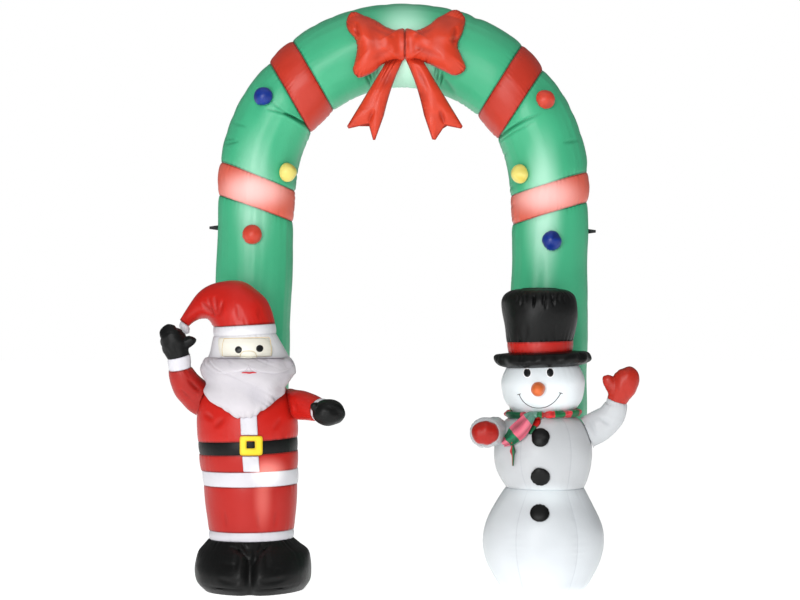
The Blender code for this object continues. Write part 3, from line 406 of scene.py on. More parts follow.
@dataclass(frozen=True)
class Nylon(Finish):
    """Polyester taffeta, plain woven, coated inside: a soft satin gloss and small crinkles.

    Light shines through it, so it is darker over a doubled hem; it is also painted darker in a crease, as
    shade, and painted paler, with a painted glow, by a lamp inside it.
    """

    name: str
    slot: Slot
    code: str                       # colour of the single cloth
    hem: str                        # colour over a doubled hem, and the painted shade in a crease
    lit: str                        # painted colour where a lamp inside shines through
    rough: float = 0.38
    lamps: tuple[Lamp, ...] = ()
    glow: float = 0.0               # painted glow: light given off by the cloth right by a lamp
    hem_width: float = 0.0065
    crinkle: float = 0.0007         # height of the small crinkles
    gloss: float = 0.34
    sheen: float = 0.02

    def coloured(self, tree: Tree) -> Socket:
        """The colour of the cloth before hems, the painted shade of creases and the painted light of lamps.
        """
        return add_node(tree, "RGB").outputs[0]

    def paint(self, tree: Tree, shader: Node, spot: Socket) -> None:
        """Lay on its colour, its gloss and its relief."""
        colour = self.shaded(tree, spot)
        if self.lamps:
            colour = self.lit_up(tree, spot, colour, shader)
        cloudy = add_node(tree, "TexNoise", {"Vector": spot, "Scale": 1 / 0.06, "Detail": 3.0})
        rough = add_node(tree, "MapRange",
                         {"Value": cloudy.outputs["Fac"], "To Min": self.rough - 0.06,
                          "To Max": self.rough + 0.06})
        feed(tree, shader, {"Base Color": colour, "Roughness": rough.outputs["Result"],
                            "Specular IOR Level": self.gloss, "Sheen Weight": self.sheen,
                            "Sheen Roughness": 0.45, "Normal": self.relief(tree, spot)})

    def shaded(self, tree: Tree, spot: Socket) -> Socket:
        """The cloth's colour with its uneven tone, darker over hems, and with painted shade in its creases.
        """
        base = self.coloured(tree)
        if base.node.type == "RGB":
            base.default_value = linear(self.code)
        tone = add_node(tree, "TexNoise", {"Vector": spot, "Scale": 1 / 0.22, "Detail": 2.0})
        value = add_node(tree, "MapRange",
                         {"Value": tone.outputs["Fac"], "From Min": 0.3, "From Max": 0.7,
                          "To Min": 0.95, "To Max": 1.05})
        toned = add_node(tree, "HueSaturation",
                         {"Color": base, "Value": value.outputs["Result"]})
        seam = add_node(tree, "Attribute", attribute_name="seam")
        hem = add_node(tree, "MapRange",
                       {"Value": seam.outputs["Fac"], "From Min": self.hem_width * 0.6,
                        "From Max": self.hem_width, "To Min": 0.75, "To Max": 0.0},
                       interpolation_type="SMOOTHSTEP")
        # painted shade: the fold mark, deep in the creases, darkens the cloth towards its hem colour, as a
        # doubled hem does
        fold = add_node(tree, "Attribute", attribute_name="fold")
        dark = add_node(tree, "Math", {0: hem.outputs["Result"], 1: fold.outputs["Fac"]},
                        operation="ADD", use_clamp=True)
        mixed = add_node(tree, "Mix",
                         {0: dark.outputs[0], 6: toned.outputs[0], 7: linear(self.hem)}, data_type="RGBA")
        return mixed.outputs[2]

    def lit_up(self, tree: Tree, spot: Socket, colour: Socket,
               shader: Node) -> Socket:
        """The colour painted paler by the lamps behind it, whose painted glow is also given off as emission.
        """
        light = self.lamps[0].light_at(tree, spot)
        for lamp in self.lamps[1:]:
            both = add_node(tree, "Math", {0: light, 1: lamp.light_at(tree, spot)},
                            operation="ADD", use_clamp=True)
            light = both.outputs[0]
        # painted light: the cloth gives off the lamps' glow and its colour is mixed towards the lit colour
        power = add_node(tree, "Math", {0: light, 1: self.glow}, operation="MULTIPLY")
        feed(tree, shader, {"Emission Color": linear(self.lit), "Emission Strength": power.outputs[0]})
        mixed = add_node(tree, "Mix", {0: light, 6: colour, 7: linear(self.lit)},
                         data_type="RGBA")
        return mixed.outputs[2]

    def relief(self, tree: Tree, spot: Socket) -> Socket:
        """Small crinkles all over, and the weave on top of them."""
        crinkles = add_node(tree, "TexNoise",
                            {"Vector": spot, "Scale": 1 / 0.035, "Detail": 4.0, "Distortion": 0.8})
        bump = add_node(tree, "Bump",
                        {"Height": crinkles.outputs["Fac"], "Distance": self.crinkle, "Strength": 1.0})
        flat = add_node(tree, "UVMap", uv_map="cloth")
        threads = []
        for way in ("X", "Y"):
            # a wave's bands repeat every 2 pi / 20 of its scaled coordinate
            threads.append(add_node(tree, "TexWave",
                                    {"Vector": flat.outputs[0], "Scale": 2 * math.pi / 20 / THREAD},
                                    bands_direction=way).outputs["Fac"])
        weave = add_node(tree, "Math", {0: threads[0], 1: threads[1]}, operation="ADD")
        fine = add_node(tree, "Bump",
                        {"Height": weave.outputs[0], "Distance": 0.00005, "Strength": 0.5,
                         "Normal": bump.outputs[0]})
        return fine.outputs[0]


@dataclass(frozen=True)
class StripedNylon(Nylon):
    """The same taffeta in sewn stripes of several colours across its length."""

    stripes: tuple[tuple[float, str], ...] = ()     # where each colour starts, 0 to 1, and the colour

    def coloured(self, tree: Tree) -> Socket:
        """The stripes' colours, read by the mark that the pieces carry."""
        mark = add_node(tree, "Attribute", attribute_name="stripe")
        ramp = add_node(tree, "ValToRGB", {"Fac": mark.outputs["Fac"]})
        ramp.color_ramp.interpolation = "CONSTANT"
        elements = ramp.color_ramp.elements
        for element, (start, code) in zip(elements, self.stripes):
            element.position, element.color = start, linear(code)
        for start, code in self.stripes[2:]:
            elements.new(start).color = linear(code)
        return ramp.outputs["Color"]


@dataclass(frozen=True)
class Webbing(Finish):
    """Woven polypropylene strap: matt black, ribbed across."""

    name: str = "polypropylene webbing"
    slot: Slot = Slot.STRAP
    code: str = "1A1B1D"
    rib: float = 0.0018             # a rib of the weave

    def paint(self, tree: Tree, shader: Node, spot: Socket) -> None:
        """Lay on its worn black and its ribs."""
        flat = add_node(tree, "UVMap", uv_map="cloth")
        ribs = add_node(tree, "TexWave",
                        {"Vector": flat.outputs[0], "Scale": 2 * math.pi / 20 / self.rib,
                         "Distortion": 0.6}, bands_direction="X")
        worn = add_node(tree, "TexNoise", {"Vector": spot, "Scale": 1 / 0.006})
        mixed = add_node(tree, "Mix",
                         {0: worn.outputs["Fac"], 6: linear(self.code), 7: linear("2B2C2F")},
                         data_type="RGBA")
        bump = add_node(tree, "Bump", {"Height": ribs.outputs["Fac"], "Distance": 0.0003, "Strength": 0.8})
        feed(tree, shader, {"Base Color": mixed.outputs[2], "Roughness": 0.8, "Normal": bump.outputs[0]})


@dataclass(frozen=True)
class Thread(Finish):
    """Embroidery thread or a small appliqué patch: matt, one colour."""

    name: str
    slot: Slot
    code: str
    rough: float = 0.6

    def paint(self, tree: Tree, shader: Node, spot: Socket) -> None:
        """Lay on its uneven colour and its fine grain."""
        speck = add_node(tree, "TexNoise", {"Vector": spot, "Scale": 1 / 0.0012, "Detail": 2.0})
        value = add_node(tree, "MapRange",
                         {"Value": speck.outputs["Fac"], "To Min": 0.85, "To Max": 1.15})
        toned = add_node(tree, "HueSaturation",
                         {"Color": linear(self.code), "Value": value.outputs["Result"]})
        bump = add_node(tree, "Bump", {"Height": speck.outputs["Fac"], "Distance": 0.0002})
        feed(tree, shader, {"Base Color": toned.outputs[0], "Roughness": self.rough,
                            "Normal": bump.outputs[0]})


GREEN = Nylon("green nylon taffeta", Slot.GREEN, "42AE80", "17704C", "BDEBD5", rough=0.33, glow=0.18,
              lamps=(LAMP_LEFT_AROUND, LAMP_RIGHT_AROUND, LAMP_OVER))
RED = Nylon("red nylon taffeta", Slot.RED, "C41C12", "8A140E", "F6877B")
BAND_RED = Nylon("red nylon taffeta, arch", Slot.RED, "BE3524", "8A1E14", "F6877B")
BOW_RED = Nylon("red nylon taffeta, bow", Slot.RED, "CE3D22", "96220F", "F6877B")
BALL_RED = Nylon("red nylon taffeta, ball", Slot.RED, "CC4230", "A02A1C", "F6877B")
MITTEN_RED = Nylon("red nylon taffeta, mitten", Slot.RED, "B52A1C", "821B12", "F6877B")
SLEEVE_RED = Nylon("red nylon taffeta, sleeve", Slot.RED, "A91A11", "78120C", "E87468")
# A lit copy of the arch's red for the low bands: its own colour is painted paler for the lamps inside them,
# besides their painted glow
RED_LIT = Nylon("red nylon taffeta by a lamp", Slot.RED, "DC6350", "A8372A", "FBC4BF", glow=0.12,
                lamps=(LAMP_LEFT, LAMP_RIGHT))
# The suit's red with the painted light of the waist lamps
RED_WARM = Nylon("red nylon taffeta over the waist lamp", Slot.RED, "B6190F", "7E120C", "F58A80", glow=0.12,
                 lamps=(LAMP_WAIST, LAMP_SKIRT))
WHITE = Nylon("white nylon taffeta", Slot.WHITE, "DAD9DF", "C0BEC8", "FFFFFF", glow=0.1,
              lamps=(LAMP_WAIST, LAMP_HEAD), hem_width=0.0035)
BEARD = Nylon("white nylon taffeta, brushed", Slot.WHITE, "CFCBD0", "BBB8C0", "FFFFFF", rough=0.55,
              crinkle=0.0016, gloss=0.2, hem_width=0.002)
BLACK = Nylon("black nylon taffeta", Slot.BLACK, "0D0E0E", "050505", "1A1C1D", rough=0.42, crinkle=0.0014,
              gloss=0.22, sheen=0.0)
CREAM = Nylon("cream nylon taffeta", Slot.CREAM, "F1EEDF", "E2D3AC", "F7F5EC", glow=0.05, lamps=(LAMP_HEAD,),
              hem_width=0.003)
YELLOW = Nylon("yellow nylon taffeta", Slot.YELLOW, "EFDD2C", "D8B51A", "F8EC6A")
PALE_YELLOW = Nylon("pale yellow nylon taffeta", Slot.YELLOW, "EBDC78", "D9BE3C", "F8F0A8")
BLUE = Nylon("blue nylon taffeta", Slot.BLUE, "12328A", "0C1A58", "5C7BE0", rough=0.32)
ORANGE = Nylon("orange nylon taffeta", Slot.ORANGE, "E07038", "B84C1C", "F2A074")
SNOW = Nylon("snow white nylon taffeta", Slot.SNOW, "D6DBDF", "C9CED3", "EEF6F9", glow=0.12,
             lamps=(LAMP_BELLY, LAMP_SNOW_HEAD), hem_width=0.003)
# A painted-shade copy of the snow white cloth for the body and arms: the same taffeta in a darker colour, for
# the shade on them
SNOW_SHADED = Nylon("snow white nylon taffeta, painted_shade", Slot.SNOW, "C5C8CB", "B8BCC0", "EEF6F9", glow=0.1,
                 lamps=(LAMP_BELLY, LAMP_SNOW_HEAD), hem_width=0.003)
SCARF_RING = StripedNylon(
    "striped nylon taffeta, scarf", Slot.RED, "D83C44", "25302A", "F09AA0", hem_width=0.0,
    stripes=((0.0, "17784A"), (0.04, "E0323A"), (0.095, "17784A"), (0.15, "E0323A"), (0.205, "17784A"),
             (0.26, "E0323A"), (0.315, "17784A"), (0.37, "E0323A"), (0.425, "17784A"), (0.48, "E0323A"),
             (0.535, "0A5B38"), (0.638, "D9485A"), (0.678, "6B9A8A"), (0.7137, "1B7A4A"), (0.7327, "E0262B"),
             (0.788, "12703F"), (0.8326, "E23A42"), (0.875, "12703F"), (0.93, "E0323A"), (0.985, "17784A")))
SCARF_TAIL = StripedNylon("striped nylon taffeta, tail", Slot.SCARF, "DE6A80", "25302A", "F09AA0",
                          hem_width=0.0,
                          stripes=((0.0, "5F9483"), (0.22, "DE6A80"), (0.62, "1E7A52"), (0.84, "E27388")))
SCARF_EDGE = StripedNylon("striped nylon taffeta, end", Slot.SCARF, "B3202A", "25302A", "F09AA0",
                          hem_width=0.0, stripes=((0.0, "C9343C"), (0.38, "146B41"), (0.75, "3C4A42")))
SCARF_DARK = Nylon("dark green scarf nylon", Slot.SCARF, "1C6B45", "0E4529", "4FB286")
SCARF_BRIGHT = Nylon("red scarf nylon", Slot.SCARF, "C9201C", "8A140E", "F6877B")
STRAP = Webbing()
INK = Thread("black appliqué", Slot.BLACK, "0E0F11", rough=0.35)
LIP = Thread("red embroidery", Slot.RED, "C4222E")
TAN = Thread("tan embroidery", Slot.CREAM, "DCC08C")
HALO = Thread("white appliqué", Slot.SNOW, "FBFBFD")


# ---- dressing

ROOT = "root"


def trim(piece: Object, finish: Finish) -> Object:
    """Give a finish to a piece; one that is only sewn on stands for no solid and needs no more."""
    piece.data.materials.clear()
    piece.data.materials.append(finish.material())
    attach(piece, ROOT)
    log.info("%s: %d faces of %s", piece.name, len(piece.data.polygons), finish.name)
    return piece


def dress(piece: Object, node: str, finish: Finish) -> Object:
    """Give a piece its finish, hide the solid that it stands for, and hang it from the root.

    Args:
        piece: the finished cloth.
        node: the solid that it stands for.
        finish: the cloth that it is cut from.

    Returns:
        The piece.
    """
    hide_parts(node)
    return trim(piece, finish)


class Sewn:
    """A filled piece of cloth; each kind says how its grid is filled."""

    tight = 0.9         # how tightly it is filled

    def count(self) -> int:
        """Rows of its grid."""
        return self.steps

    def build(self) -> Object:
        """Cut it, fill it and dress it."""
        piece = cut_and_sew(f"{self.node}_cloth", self.columns, self.count(), self.fill)
        return dress(piece, self.node, self.finish)


# ---- arch tube

@dataclass(frozen=True)
class Seam:
    """A slanted seam across the tube."""

    x: float
    z: float
    chord: float            # half its width from the outside to the inside of the arch
    radius: float           # of the tube
    slope: float            # of the chord from outside to inside, degrees


SEAMS = tuple(Seam(*row) for row in (       # from the left foot over the top to the right foot
    (-0.65, 0.0, 0.15, 0.15, 0.0), (-0.603, 1.55, 0.166, 0.157, -19.6), (-0.594, 1.683, 0.17, 0.164, -21.7),
    (-0.46, 2.015, 0.173, 0.165, -59.9), (-0.365, 2.108, 0.171, 0.169, -59.6),
    (0.419, 2.087, 0.175, 0.172, -122.4), (0.505, 1.988, 0.176, 0.167, -123.1),
    (0.626, 1.653, 0.17, 0.165, -162.8), (0.629, 1.53, 0.166, 0.159, -163.2),
    (0.615, 0.0, 0.152, 0.152, -180.0)))

ARCH_Y = 0.198              # plane of the tube's middle line
ARCH_X = 0.008              # the arch's centre
ARCH_Z = 1.601


def polar(x: float, z: float) -> tuple[float, float]:
    """Distance and angle (degrees, over the top from the right) seen from the arch's centre."""
    angle = math.degrees(math.atan2(z - ARCH_Z, x - ARCH_X))
    return math.hypot(x - ARCH_X, z - ARCH_Z), angle + 360 if angle < -90 else angle


def faces_front(turn: Array) -> Array:
    """How much each place round a piece faces the front, 0 to 1."""
    return np.clip(-np.sin(turn), 0, 1) ** 0.5


def mix(first: float, last: float, share: Array | float) -> Array | float:
    """A value part of the way between two."""
    return first + (last - first) * share


@dataclass(frozen=True)
class Gathers:
    """How the cloth of one tube panel lies along and across its seams."""

    ends: Tucks = Tucks(0.024, 0.0042, 0.018, 11)           # at the seams across the tube
    outside: Tucks = Tucks(0.088, 0.0095, 0.055, 31)        # along the arch's outer edge
    inside: Tucks = Tucks(0.036, 0.006, 0.06, 51)         # along the arch's inner edge
    dent: float = 0.0018                                    # broad unevenness
    flutes: float = 0.0007                                  # long shallow ripples
    creases: tuple[Crease, ...] = ()                        # on the front


@dataclass(frozen=True)
class TubePanel(Sewn):
    """One panel of the tube between two slanted seams."""

    node: str
    first: Seam
    last: Seam
    swell: float
    finish: Nylon
    gathers: Gathers
    wide: float
    seed: int
    columns: int = 240

    @property
    def stands(self) -> bool:
        """Whether the panel is a leg that stands on the ground."""
        return 0.0 in (self.first.z, self.last.z)

    def middle(self, share: Array) -> tuple[Array, Array]:
        """Middle x and z, part of the way along."""
        if self.stands:
            return mix(self.first.x, self.last.x, share), mix(self.first.z, self.last.z, share)
        (near, start), (far, stop) = polar(self.first.x, self.first.z), polar(self.last.x, self.last.z)
        reach, angle = mix(near, far, share), np.radians(mix(start, stop, share))
        return ARCH_X + reach * np.cos(angle), ARCH_Z + reach * np.sin(angle)

    def length(self) -> float:
        """Length along the middle line."""
        x, z = self.middle(np.linspace(0, 1, 13))
        return float(np.hypot(np.diff(x), np.diff(z)).sum())

    def runs(self) -> Array:
        """Distances along it, one for each row of the grid."""
        length = self.length()
        if self.last.z > 0:
            return stepped(length, self.first.z > 0, self.wide)
        return length - stepped(length, False, self.wide)[::-1]

    def count(self) -> int:
        """Rows of its grid."""
        return len(self.runs()) - 1

    def radius(self, share: Array) -> Array:
        """Tube radius, with its swell between the seams."""
        return mix(self.first.radius, self.last.radius, share) \
            + self.swell * np.sin(np.pi * np.clip(share, 0, 1)) ** 0.5

    def places(self, share: Array, turn: Array, factor: Array, shift: Array,
               depth: Array | float) -> Array:
        """Points of the tube.

        Args:
            share: how far along the panel, 0 to 1.
            turn: angle round the tube, 0 at the arch's inside, past a half turn at its front.
            factor: of the radius.
            shift: metres along the tube, for the gap between two panels.
            depth: metres under the even form.

        Returns:
            The points, one a row.
        """
        x, z = self.middle(share)
        chord = np.radians(mix(self.first.slope, self.last.slope, share))
        slant = mix(self.first.chord / self.first.radius, self.last.chord / self.last.radius, share)
        radius = self.radius(share) * factor
        across = (radius * slant - depth) * np.cos(turn)
        deep = (radius - depth) * np.sin(turn)
        return stack(x - np.sin(chord) * shift + np.cos(chord) * across, ARCH_Y + deep,
                     z + np.cos(chord) * shift + np.sin(chord) * across)

    def fill(self, u: Array, v: Array) -> Form:
        """The filled form over the panel's grid, whose long edges meet on the arch's outside."""
        length, runs = self.length(), self.runs()
        run = runs[np.rint(v * (len(runs) - 1)).astype(int)]
        turn = math.pi + 2 * math.pi * u
        share = run / length
        from_first = run if self.first.z > 0 else np.full_like(run, FAR)
        from_last = length - run if self.last.z > 0 else np.full_like(run, FAR)
        seam = np.minimum(from_first, from_last)
        shift = np.where(from_first < 1e-9, GAP / 2, np.where(from_last < 1e-9, -GAP / 2, 0.0))
        radius = float(self.radius(np.array([0.5]))[0])
        around = 2 * math.pi * radius * u
        outside = radius * np.abs((turn % (2 * math.pi)) - math.pi)
        inside = math.pi * radius - outside
        even = self.places(share, turn, np.ones_like(share), shift, 0.0)
        gathers = self.gathers
        edges = gathers.outside.depth_at(run, outside) + gathers.inside.depth_at(run, inside)
        folds = np.minimum(gathers.ends.depth_at(around, seam, 2 * math.pi * radius) + edges, 0.013)
        folds = folds + faces_front(turn) * creased(gathers.creases, even[:, 0], even[:, 2])
        dents = gathers.dent * wander(even, 0.26, self.seed) \
            + gathers.flutes * wander(stack(radius * np.cos(turn), radius * np.sin(turn), 0.08 * run), 0.045,
                                      self.seed + 3)
        places = self.places(share, turn, drawn_in(seam), shift, folds + dents)
        # the last mark is painted shade in the tucks and creases
        return Form(places, stack(around, run)[:, :2], np.minimum(seam, outside),
                    np.clip((folds - 0.7 * edges) / 0.009, 0, 0.9))


@dataclass
class ArchTube:
    """The nine filled panels of the arch."""

    legs: Gathers = Gathers(outside=Tucks(0.13, 0.0024, 0.04, 61), inside=Tucks(0.11, 0.0024, 0.04, 71),
                            dent=0.0022, flutes=0.0011)
    bands: Gathers = Gathers(ends=Tucks(0.022, 0.004, 0.018, 81), inside=Tucks(0.03, 0.005, 0.06, 91),
                             outside=Tucks(0.07, 0.006, 0.05, 95), dent=0.001)
    side_left: Gathers = Gathers(creases=troughs((-552, 1955, -370, 1878, 13, 6.2, 10, 1),
        (-540, 1995, -376, 1888, 7, 6, -10, 1), (-480, 1935, -400, 1890, 8, 5, 4),
        (-740, 1812, -660, 1822, 6, 6), (-730, 1835, -675, 1830, 5, 5), (-700, 1905, -630, 1880, 4, 7)))
    side_right: Gathers = Gathers(creases=troughs((586, 1936, 403.3, 1833.6, 13, 6.5, -10, 1),
        (560, 1900, 420, 1830, 6, 5, -4, 1), (750, 1830, 670, 1815, 5, 7)))
    top: Gathers = Gathers(creases=troughs((-82, 2145, -97, 2085, 11.5, 4.8),
        (-145, 2102, -120, 2050, 11.5, 5.2), (-130, 2110, -112, 2062, 11.5, 4.8),
        (-110, 2125, -100, 2070, 9.5, 4.4), (150, 2142, 142, 2090, 11.5, 4.8),
        (158, 2138, 153, 2070, 11.5, 5.2), (176, 2110, 168, 2052, 11.5, 4.8), (170, 2094, 232, 2014, 6, 10),
        (-10, 2080, -14, 1975, 4.5, 4), (10, 2086, 12, 1970, 5, 3.8), (26, 2080, 30, 1985, 3.5, 3),
        (44, 2070, 52, 1975, 4.5, 4), (-34, 2060, -40, 1985, 3, 3.5)))

    def panels(self) -> tuple[TubePanel, ...]:
        """The panels in line, from the left leg over the top to the right leg."""
        leg = (0.003, GREEN, self.legs, 0.0125)         # swell, finish, gathers and widest step
        low, high = (0.004, RED_LIT, self.bands, COARSE), (0.004, BAND_RED, self.bands, COARSE)
        side_left, top, side_right = ((0.003, GREEN, gathers, 0.006)
                                      for gathers in (self.side_left, self.top, self.side_right))
        looks = {"leg_left": leg, "band_left_low": low, "side_left": side_left, "band_left_high": high,
                 "top": top, "band_right_high": high, "side_right": side_right, "band_right_low": low,
                 "leg_right": leg}
        return tuple(TubePanel(f"arch_{name}", SEAMS[i], SEAMS[i + 1], *looks[name], 201 + i)
                     for i, name in enumerate(looks))

    def build(self) -> None:
        """Make and dress every panel."""
        for panel in self.panels():
            panel.build()


# ---- sewn on the arch

def tube_front(x: float, z: float, panels: Sequence[TubePanel]) -> tuple[Vector, Vector]:
    """The tube's front surface at a place seen from the front.

    Args:
        x: across.
        z: up.
        panels: the tube's panels.

    Returns:
        The point, and its outward direction.
    """
    for panel in panels:
        if panel.stands:
            share = (z - panel.first.z) / (panel.last.z - panel.first.z)
            near = x * panel.first.x > 0 and 0 <= share <= 1
        else:
            start, stop = polar(panel.first.x, panel.first.z)[1], polar(panel.last.x, panel.last.z)[1]
            share = (polar(x, z)[1] - start) / (stop - start)
            near = 0 <= share <= 1 and polar(x, z)[1] > -10
        if near:
            break
    middle_x, middle_z = panel.middle(np.array([share]))
    radius = float(panel.radius(np.array([share]))[0])
    off = Vector((x - float(middle_x[0]), 0, z - float(middle_z[0])))
    depth = math.sqrt(radius ** 2 - off.length_squared)
    return Vector((x, ARCH_Y - depth, z)), (off - Vector((0, depth, 0))).normalized()


@dataclass(frozen=True)
class Puff:
    """A round puffed piece that is sewn on at its back: a ball, a button or a nose."""

    node: str
    finish: Nylon
    radius: float
    side: Table       # shares of the radius: out and up, crest to back
    tucks: Tucks
    columns: int = 64
    rows: int = 36
    hem: float = 0.16                           # height of its seam, as a share of the radius

    def build(self, place: Vector, outward: Vector) -> Object:
        """Sew it on at a place.

        Args:
            place: the middle of its back.
            outward: the way that it faces.

        Returns:
            The dressed piece.
        """
        first = outward.cross(Vector((0, 0, 1))).normalized()
        second = outward.cross(first)
        frame = np.array([first, second, outward])

        def fill(u: Array, v: Array) -> Form:
            """The form over the grid, from shares round and along it."""
            out, up = (spline(self.side, v * (len(self.side) - 1)) * self.radius).T
            turn = 2 * math.pi * u
            out, up = np.maximum(out, 0), np.maximum(up, 0)
            around = 2 * math.pi * self.radius
            seam = np.abs(up - self.hem * self.radius)
            share = np.clip(out / self.radius, 0, 1)
            fold = self.tucks.depth_at(u * around, np.hypot(seam, self.radius - out), around) * share
            fold += 0.05 * self.radius * share * wander(stack(np.cos(turn), np.sin(turn), up / self.radius),
                                                        2.6, self.tucks.seed) ** 2
            out = np.maximum(out - fold, 0)
            up = np.maximum(up - 0.4 * fold * (up > 0.002), 0)
            local = stack(out * np.cos(turn), out * np.sin(turn), up)
            # the last mark is painted shade in its tucks and lumps
            return Form(np.array(place) + local @ frame, stack(u * around, v * self.radius * 2)[:, :2],
                        np.maximum(seam, 0), np.clip(fold / 0.006, 0, 0.5))

        piece = cut_and_sew(f"{self.node}_cloth", self.columns, self.rows, fill)
        return dress(piece, self.node, self.finish)


# Side of a ball, as shares of its radius: out and up from the tube, crest to back
BALL_SIDE = ((0, 1.28), (0.2, 1.26), (0.42, 1.19), (0.66, 1.04), (0.86, 0.82), (0.98, 0.56), (0.99, 0.32),
             (0.88, 0.14), (0.62, 0.0), (0.3, 0.0), (0, 0))


@dataclass
class Balls:
    """Six puffed balls on the front of the tube."""

    panels: tuple[TubePanel, ...]
    tucks: Tucks = Tucks(0.021, 0.003, 0.024, 301)
    places: tuple[tuple[str, float, float, float, Nylon], ...] = (
        ("ball_blue_left", -0.556, 2.000, 0.041, BLUE),
        ("ball_yellow_left", -0.476, 1.698, 0.041, PALE_YELLOW),
        ("ball_red_left", -0.607, 1.436, 0.041, BALL_RED),
        ("ball_red_right", 0.591, 1.988, 0.041, BALL_RED),
        ("ball_yellow_right", 0.507, 1.69, 0.04, PALE_YELLOW),
        ("ball_blue_right", 0.623, 1.411, 0.042, BLUE),
    )

    def build(self) -> None:
        """Sew the balls on."""
        for number, (node, x, z, radius, finish) in enumerate(self.places):
            place, outward = tube_front(x, z, self.panels)
            tucks = Tucks(self.tucks.pitch, self.tucks.depth, self.tucks.reach, self.tucks.seed + 10 * number)
            Puff(node, finish, radius, BALL_SIDE, tucks).build(place + outward * REST, outward)


BOW = (0.02, 2.217)        # the bow's middle, x and z


def closed_curve(points: Sequence[Sequence[float]], share: Array) -> Array:
    """Places on a smooth closed curve through the points, for shares of 0 to 1."""
    return spline([points[-1], *points, *points[:2]], 1 + share * len(points))


@dataclass(frozen=True)
class Lobe(Sewn):
    """One puffed half of the bow, sewn to the other at the middle of the bow."""

    node: str
    hand: int                                   # -1 for the left one
    outline: Table    # x, z from the bow's middle, top of the knot round to its foot
    creases: tuple[Crease, ...]
    crown: float = 0.052
    rim: float = 0.004
    lie: float = 0.006
    finish: Nylon = BOW_RED
    columns: int = 240
    steps: int = 72
    rim_tucks: Tucks = Tucks(0.017, 0.0075, 0.018, 401)
    knot_tucks: Tucks = Tucks(0.03, 0.012, 0.03, 411)
    tight = 0.8

    def fill(self, u: Array, v: Array) -> Form:
        """The filled form: columns run out from the middle of its front round to its back."""
        x, z = closed_curve(self.outline, u).T
        x = self.hand * np.maximum(self.hand * x, GAP / 2)
        swing = v / 0.62                                        # front up to 1, then the back
        front = swing <= 1
        share = np.where(front, np.sin(math.pi / 2 * np.minimum(swing, 1)), np.clip((1 - v) / 0.38, 0, 1))
        middle_x = self.hand * 0.118
        reach = np.hypot(x - middle_x, z)
        x, z = middle_x + (x - middle_x) * share, z * share
        hem = self.rim / 2
        knot = np.exp(-(x / 0.03) ** 2)                        # 1 along the seam between the lobes
        upright = np.minimum(np.abs(z) / (0.058 + 0.25 * np.abs(x)), 1.0)
        full = mix((1 - share ** 2.4) ** 0.6, 0.72 * (1 - upright ** 3) ** 0.6, knot)
        lift = np.where(front, hem + (self.crown + hem) * full, hem * share ** 14)
        outline = closed_curve(self.outline, np.linspace(0, 1, 400))
        run = np.concatenate([[0], np.hypot(*np.diff(outline, axis=0).T).cumsum()])
        along = np.interp(u, np.linspace(0, 1, 400), run)
        rim_gap = (1 - share) * reach
        fold = self.rim_tucks.depth_at(along, rim_gap, float(run[-1])) * (1 - 0.7 * knot)
        pinch = 0.35 * fold * share ** 4 * (1 - knot)           # the outline is drawn in by its stitches
        x = x - (x - middle_x) / np.maximum(reach, 0.01) * pinch
        z = z - z / np.maximum(reach, 0.01) * pinch
        fold = fold + self.knot_tucks.depth_at(z + 0.3, np.abs(x)) * (1 - upright ** 6)
        fold = fold + 0.004 * np.exp(-(x / 0.004) ** 2)         # the seam between the lobes
        fold = fold + creased(self.creases, x, z, RIDGE)
        fold = fold + 0.004 * wander(stack(x, 0, z), 0.11, self.rim_tucks.seed + 5) * (1 - share ** 4)
        lift = np.where(front, lift - np.minimum(fold, 0.6 * (lift - hem)), lift)
        x, z = x + BOW[0], z + BOW[1]
        # the last mark is painted shade in its tucks, creases and middle seam
        return Form(stack(x, bow_back(x, z) - self.lie - lift, z), stack(x, z)[:, :2], rim_gap,
                    np.clip(fold / 0.014, 0, 0.6))


